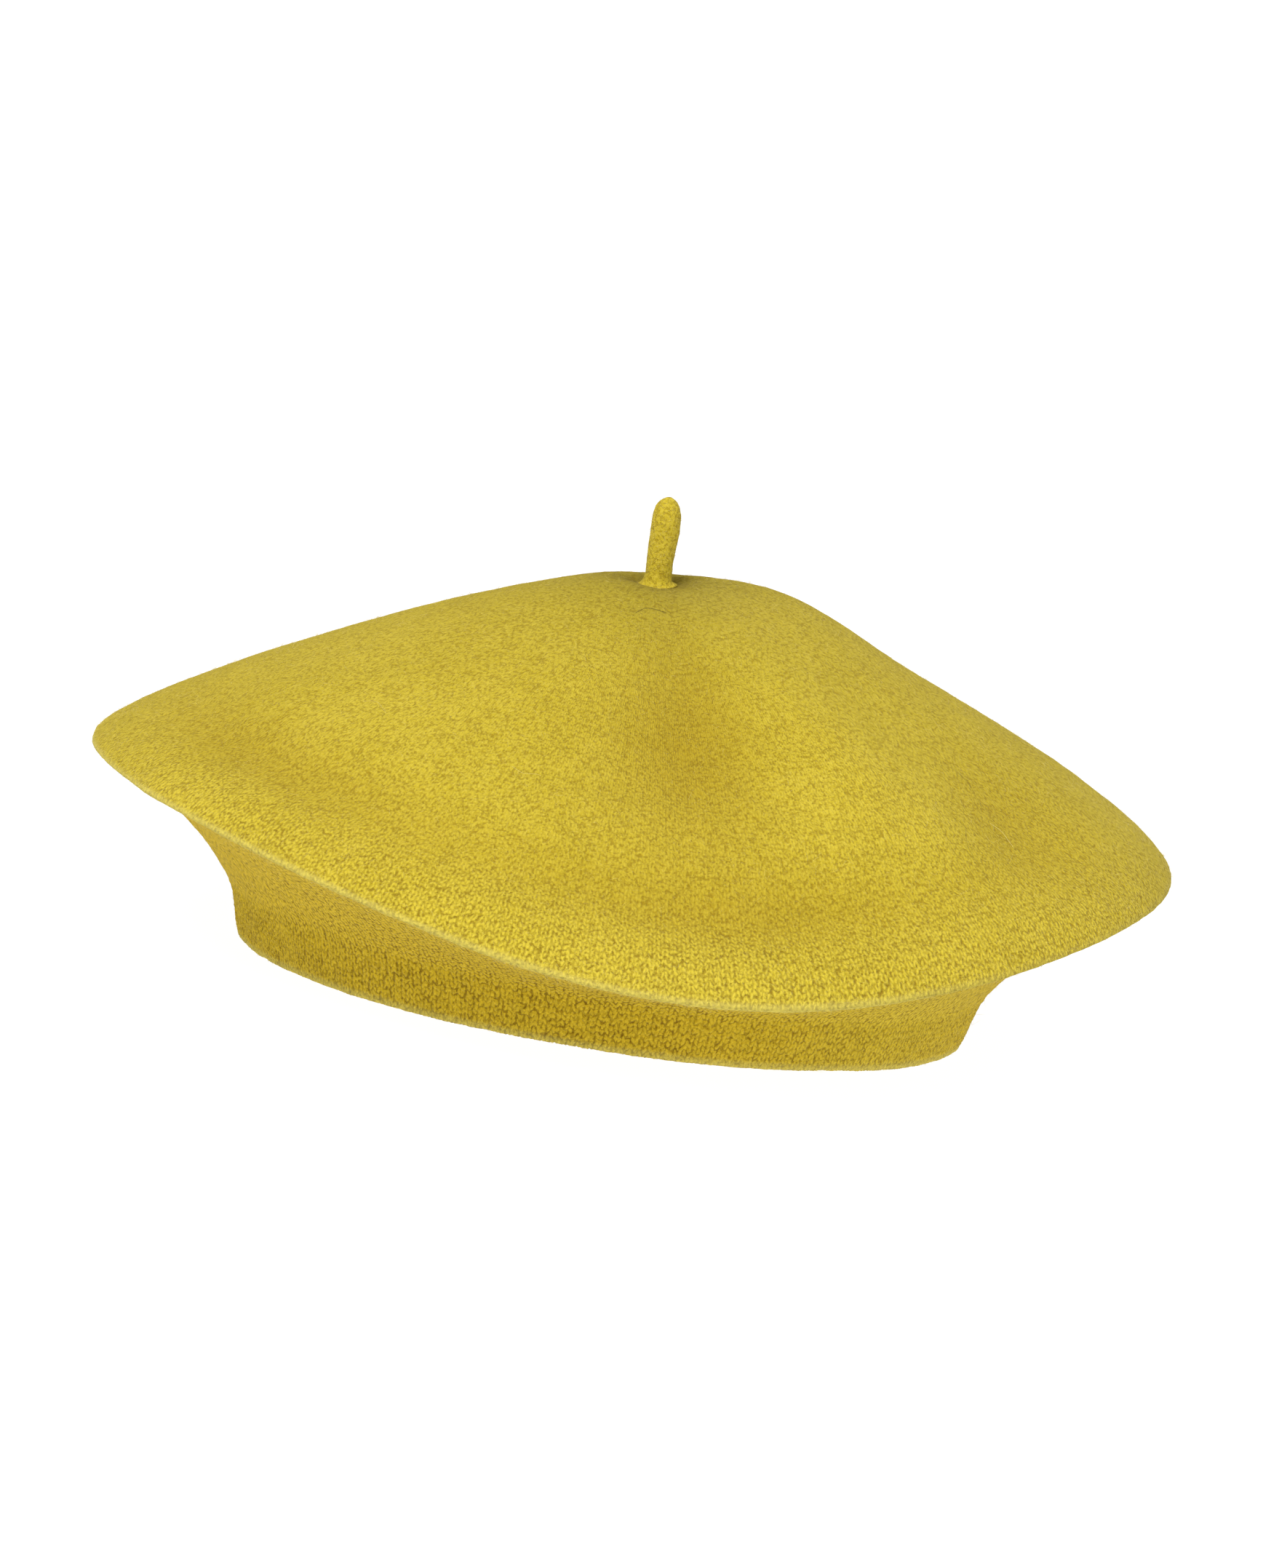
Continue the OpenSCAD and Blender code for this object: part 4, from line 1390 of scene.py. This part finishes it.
class BERET_OT_care_label(bpy.types.Operator):
    """Blank woven label, folded double and sewn in at the back of the hem"""

    bl_idname = "beret.care_label"
    bl_label = "Care label"

    def execute(self, context):
        trim = settings()[1]
        width, length = trim.label_width / MM, trim.label_length / MM
        joint = next(j for j in frame["record"]["behaviour"]["joints"] if j["name"] == "label_flap")
        pivot = np.array(joint["pos_m"]) / MM
        slope = self.slope(pivot, width, length)
        ex = np.array([0, math.cos(slope), math.sin(slope)])
        ey = np.array([-1.0, 0, 0])
        ez = np.cross(ex, ey)
        near, far, gap, half = 0.45, length + 0.4, 0.2, 0.11
        lower = np.stack([np.linspace(near, far - gap, 46), np.full(46, -gap)], -1)
        bend = arc((far - gap, 0), gap, -80, 80, 7)
        upper = np.stack([np.linspace(far - gap, near, 46), np.full(46, gap)], -1)
        path = np.concatenate([lower, bend, upper])
        ahead = unit(np.gradient(path, axis=0))
        out = np.stack([ahead[:, 1], -ahead[:, 0]], -1)
        cols = LABEL_COLUMNS
        last = cols - 1
        across = np.linspace(-width / 2, width / 2, cols)
        faces_of = []
        for side in (half, -half):
            line = path + out * side
            x = np.broadcast_to(line[:, 0][:, None], (len(path), cols))
            curl = 0.9 * (x / far) ** 2 * (0.35 + 0.65 * (np.abs(across) / width * 2) ** 2)[None, :]
            wave = 0.12 * np.sin(across / 3.1 + x / 5.0) * (x / far)
            z = line[:, 1][:, None] + curl + np.abs(wave)
            faces_of.append(pivot + x[..., None] * ex + across[None, :, None] * ey + z[..., None] * ez)
        n = len(path)
        points = np.concatenate([faces_of[0].reshape(-1, 3), faces_of[1].reshape(-1, 3)])
        i, j = [a.ravel() for a in np.meshgrid(np.arange(n - 1), np.arange(last), indexing="ij")]
        here, beyond = i * cols + j, (i + 1) * cols + j
        quad = np.stack([here, here + 1, beyond + 1, beyond], -1)
        other = quad[:, ::-1] + n * cols
        run = np.concatenate([[0], np.cumsum(np.linalg.norm(np.diff(path, axis=0), axis=1))]) * MM
        at = np.stack([run[quad // cols], across[quad % cols] * MM], -1)
        span = max(run[-1], width * MM)

        def on_map(spot):
            return np.stack([spot[..., 1] / span / 1.05 + 0.25, spot[..., 0] / span * 0.98 + 0.01], -1)

        end = (n - 1) * cols
        rim = [(k * cols, (k + 1) * cols) for k in range(n - 1)]
        rim += [(end + k, end + k + 1) for k in range(last)]
        rim += [((k + 1) * cols + last, k * cols + last) for k in range(n - 1)]
        rim += [(k + 1, k) for k in range(last)]
        rim = np.array(rim)
        edges = np.stack([rim[:, 1], rim[:, 0], rim[:, 0] + n * cols, rim[:, 1] + n * cols], -1)
        corner = edges % (n * cols)
        edge_at = np.stack([run[corner // cols], across[corner % cols] * MM], -1)
        shift = np.array([0.48, 0.0])
        maps = {
            "OFBake": [np.concatenate([on_map(at), on_map(at)[:, ::-1] + shift, on_map(edge_at)])],
            "WeaveGrid": [np.concatenate([at, at[:, ::-1], edge_at])],
        }
        mesh = make_mesh("care_label_cloth", points, [np.concatenate([quad, other, edges])], maps)
        colours = tuple(trim.tape), tuple(trim.tape_deep)
        material = woven_material("Woven label", *colours, (3200.0, 2600.0), 4.0)
        piece = add_object("care_label_cloth", mesh, material)
        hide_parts("care_label")
        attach(piece, "label")
        self.stitches(pivot, ey, ez, width)
        return {"FINISHED"}

    def slope(self, pivot, width, length):
        """The least slope at which the label clears the underside that it rests on."""
        rest = under_point(np.array(90.0), np.arange(1, 17) / 50, FELT)
        out = np.sqrt(np.hypot(rest[:, 0], rest[:, 1]) ** 2 - (width / 2) ** 2) - pivot[1]
        near = (out > 3) & (out < length)
        up = rest[near, 2] - pivot[2]
        return float(np.max(np.arctan2(up, out[near]) + np.arcsin(0.7 / np.hypot(out[near], up))))

    def stitches(self, pivot, ey, ez, width):
        """Short stitches of label thread along the sewn edge."""
        trim = settings()[1]
        material = yarn_material("Label thread", tuple(trim.tape), tuple(trim.tape_deep), 0.15)
        count = max(2, int(width // STITCH_LENGTH))
        tubes = []
        for i in range(count):
            middle = pivot + ey * ((i - (count - 1) / 2) * width / count)
            path = stitch_path(middle, ey, ez, 3.7, 0.18, 0.12)
            tubes.append(tube(path, trim.yarn_d / MM / 2 * 0.85, sides=10, plies=3, pitch=1.6, depth=0.12))
        piece = tubes_piece("label_stitch_thread", tubes, material)
        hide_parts("label_stitches")
        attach(piece, "label")


class BERET_OT_fuzz(bpy.types.Operator):
    """Short loose fibres that stand off the felt, most of them along the fold"""

    bl_idname = "beret.fuzz"
    bl_label = "Wool fuzz"

    def execute(self, context):
        fuzz = settings()[2]
        if "skin" not in MADE or "stalk" not in MADE:
            raise RuntimeError("the felt body and the stalk are made before their fuzz")
        skin, points, normals = MADE["skin"]
        material = fibre_material("Loose wool fibre", tuple(fuzz.pale), tuple(fuzz.deep))
        rng = np.random.default_rng(5)
        last = skin["fold_row"] + 1
        crown = [(points[:last], normals[:last])] + [(b[1][::-1], b[2][::-1]) for b in crown_middle()]

        def clumped(places):
            return np.clip(0.6 + 0.8 * CLUMPS.at(places, 7.0), 0.1, 2)

        def near_fold(places):
            turn = np.degrees(np.arctan2(places[..., 1], places[..., 0]))
            return clumped(places) * (1 + 2.5 * bell(places[..., 2] - rim_height(turn), 6.0))

        roots, outs = scatter_on(crown, fuzz.crown_count, rng, clumped)
        sizes = (fuzz.length / MM, fuzz.thickness / MM, material)
        self.keep(fibres_piece("crown_fuzz", roots, outs, rng, *sizes), "hat", "felted_knit")
        reach = slice(last - 25, skin["top_row"] + skin["outer_rows"] + 6)
        rim = [(points[reach], normals[reach])]
        roots, outs = scatter_on(rim, fuzz.rim_count, rng, near_fold)
        self.keep(fibres_piece("rim_fuzz", roots, outs, rng, *sizes), "hat", "felted_knit")
        cord = MADE["stalk"]
        middle = np.array([stalk_x(), 0, 0])
        away = unit((cord - middle) * np.array([1, 1, 0]))
        cord_grid = [(cord[13:], away[13:])]
        roots, outs = scatter_on(cord_grid, fuzz.stalk_count, rng, lambda places: 1 + 0 * places[..., 0])
        piece = fibres_piece("stalk_fuzz", roots, outs, rng, sizes[0] * 0.7, sizes[1], material)
        self.keep(piece, "stalk", "felted_cord")
        return {"FINISHED"}

    def keep(self, piece, body, slot):
        """The fibres are attached to a body, and move with it."""
        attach(piece, body)


def crown_height(x, y):
    """Height of the crown's top over a place, found by moving out along its own angle."""
    share, angle = 0.2, 0.0
    for _ in range(12):
        cx = MIDDLE_SHIFT + (DISC_SHIFT - MIDDLE_SHIFT) * share
        angle = math.degrees(math.atan2(y, x - cx))
        share = min(0.995, math.hypot(x - cx, y) / DISC_R)
    return float(crown_point(np.array(angle), np.array(share))[2])


class BERET_OT_stray_hairs(bpy.types.Operator):
    """A few longer hairs caught on the crown, dark and pale"""

    bl_idname = "beret.stray_hairs"
    bl_label = "Stray hairs"

    # Start and end on the crown, sideways bow, thickness and whether it is dark
    HAIRS = (
        ((-6.0, -27.0), (2.2, -23.5), 1.3, 0.10, True),
        ((78.0, -44.0), (88.0, -52.0), 1.6, 0.035, True),
        ((84.0, -66.0), (92.0, -80.0), -1.8, 0.035, True),
        ((90.0, -56.0), (97.0, -60.0), 0.9, 0.07, False),
        ((-30.0, -88.0), (-22.0, -90.0), -1.0, 0.06, False),
        ((-70.0, -60.0), (-63.0, -68.0), 1.2, 0.06, False),
        ((40.0, 62.0), (49.0, 58.0), 1.4, 0.07, True),
        ((-52.0, 70.0), (-47.0, 80.0), -1.5, 0.07, False),
    )

    def execute(self, context):
        fuzz = settings()[2]
        for dark, name in ((True, "dark_hairs"), (False, "pale_hairs")):
            tubes = []
            for start, end, bow, thick, is_dark in self.HAIRS:
                if is_dark == dark:
                    tubes.append(tube(self.path(np.array(start), np.array(end), bow), thick / 2, sides=6))
            colours = (fuzz.hair, fuzz.hair) if dark else (fuzz.pale, fuzz.pale)
            material = fibre_material(name.replace("_", " ").capitalize(), *(tuple(c) for c in colours))
            piece = tubes_piece(name, tubes, material)
            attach(piece, "hat")
        return {"FINISHED"}

    def path(self, start, end, bow):
        points = []
        across = np.array([-(end - start)[1], (end - start)[0]]) / np.linalg.norm(end - start)
        for t in np.linspace(0, 1, 22):
            bend = bow * math.sin(math.pi * t) * (1 + 0.4 * math.sin(5 * t))
            place = start + (end - start) * t + across * bend
            z = crown_height(*place)
            lift = 0.14 + 0.10 * math.sin(math.pi * t)
            sink = 0.35 * (abs(2 * t - 1) ** 12)
            relief = float(felt_relief(np.array([place[0], place[1], z])))
            points.append((place[0], place[1], z + relief * 1.05 + lift - sink))
        return points


class BERET_OT_studio(bpy.types.Operator):
    """Camera, pale floor, white surround and soft lights"""

    bl_idname = "beret.studio"
    bl_label = "Studio"

    def execute(self, context):
        studio = settings()[3]
        self.camera(studio)
        self.floor()
        self.lights(studio)
        context.scene.view_settings.view_transform = "Standard"
        return {"FINISHED"}

    def camera(self, studio):
        """The camera looks a little down on the hat and is turned about its own line of sight."""
        data = bpy.data.cameras.new("Camera")
        data.lens = studio.lens
        data.sensor_width = 36
        data.clip_end = 100
        camera = bpy.data.objects.new("Camera", data)
        bpy.context.scene.collection.objects.link(camera)
        back = Vector((0, -math.cos(studio.elevation), math.sin(studio.elevation)))
        right = Vector((1, 0, 0))
        up = back.cross(right)
        turn = Matrix.Rotation(studio.tilt, 3, back)
        axes = Matrix((turn @ right, turn @ up, back)).transposed()
        place = Vector((0, 0, studio.height)) + back * studio.distance
        camera.matrix_world = Matrix.Translation(place) @ axes.to_4x4()
        bpy.context.scene.camera = camera

    def floor(self):
        """Bright paper just under the hat."""
        steps = 8
        line = np.linspace(-FLOOR_HALF, FLOOR_HALF, steps + 1)
        x, y = np.meshgrid(line, line)
        points = np.stack([x, y, 0 * x - FLOOR_DROP], -1).reshape(-1, 3)
        i, j = [a.ravel() for a in np.meshgrid(np.arange(steps), np.arange(steps), indexing="ij")]
        first = i * (steps + 1) + j
        squares = np.stack([first, first + 1, first + steps + 2, first + steps + 1], -1)
        mesh = make_mesh("floor", points, [squares])
        material, n, shader = new_material("Pale floor", roughness=0.8, specular_ior_level=0.1)
        place = n.add("ShaderNodeTexCoord").outputs["Object"]
        paper = n.noise(place, 3.0, 3.0)
        colour = n.mix(paper, (0.13, 0.13, 0.13), (0.15, 0.15, 0.15))
        join_surface(n, shader, colour)
        shader.inputs["Emission Color"].default_value = (1, 1, 1, 1)
        shader.inputs["Emission Strength"].default_value = 0.97
        add_object("floor", mesh, material)

    def lights(self, studio):
        """A dim surround that looks white to the camera, a broad light above and a soft one in front."""
        world = bpy.data.worlds.new("Surround")
        world.use_nodes = True
        background = world.node_tree.nodes["Background"]
        background.inputs["Color"].default_value = (1, 1, 1, 1)
        tree = world.node_tree
        backdrop = tree.nodes.new("ShaderNodeBackground")
        backdrop.inputs["Color"].default_value = (1, 1, 1, 1)
        ray = tree.nodes.new("ShaderNodeLightPath")
        either = tree.nodes.new("ShaderNodeMixShader")
        background.inputs["Strength"].default_value = studio.sky
        tree.links.new(ray.outputs["Is Camera Ray"], either.inputs[0])
        tree.links.new(background.outputs[0], either.inputs[1])
        tree.links.new(backdrop.outputs[0], either.inputs[2])
        tree.links.new(either.outputs[0], tree.nodes["World Output"].inputs["Surface"])
        bpy.context.scene.world = world
        for name, strength, angle, direction in (
            ("Key", studio.key, 26, (-0.42, -0.50, 1.0)),
            ("Front", studio.fill, 90, (0.55, -1.0, 0.30)),
        ):
            data = bpy.data.lights.new(name, "SUN")
            data.energy = strength
            data.angle = math.radians(angle)
            light = bpy.data.objects.new(name, data)
            light.rotation_euler = Vector(direction).to_track_quat("Z", "Y").to_euler()
            bpy.context.scene.collection.objects.link(light)


class BERET_PT_parts(bpy.types.Panel):
    """Lists the pieces of the hat and their settings"""

    bl_label = "Knit beret"
    bl_idname = "BERET_PT_parts"
    bl_space_type = "VIEW_3D"
    bl_region_type = "UI"
    bl_category = "Beret"

    def draw(self, context):
        for operator in OPERATORS:
            self.layout.operator(operator.bl_idname)
        for group in ("beret_felt", "beret_trim", "beret_fuzz", "beret_studio"):
            box = self.layout.box()
            held = getattr(context.scene, group)
            for name in held.__annotations__:
                box.prop(held, name)


OPERATORS = (
    BERET_OT_studio,
    BERET_OT_felt_body,
    BERET_OT_stalk,
    BERET_OT_elastic,
    BERET_OT_sewing,
    BERET_OT_care_label,
    BERET_OT_fuzz,
    BERET_OT_stray_hairs,
)
GROUPS = {
    "beret_felt": BeretFeltSettings,
    "beret_trim": BeretTrimSettings,
    "beret_fuzz": BeretFuzzSettings,
    "beret_studio": BeretStudioSettings,
}


def register():
    for name, group in GROUPS.items():
        bpy.utils.register_class(group)
        setattr(bpy.types.Scene, name, PointerProperty(type=group))
    for operator in OPERATORS:
        bpy.utils.register_class(operator)
    bpy.utils.register_class(BERET_PT_parts)


def unregister():
    bpy.utils.unregister_class(BERET_PT_parts)
    for operator in reversed(OPERATORS):
        bpy.utils.unregister_class(operator)
    for name, group in GROUPS.items():
        delattr(bpy.types.Scene, name)
        bpy.utils.unregister_class(group)


def main():
    register()
    for operator in OPERATORS:
        family, action = operator.bl_idname.split(".")
        getattr(getattr(bpy.ops, family), action)()


if __name__ == "__main__":
    main()
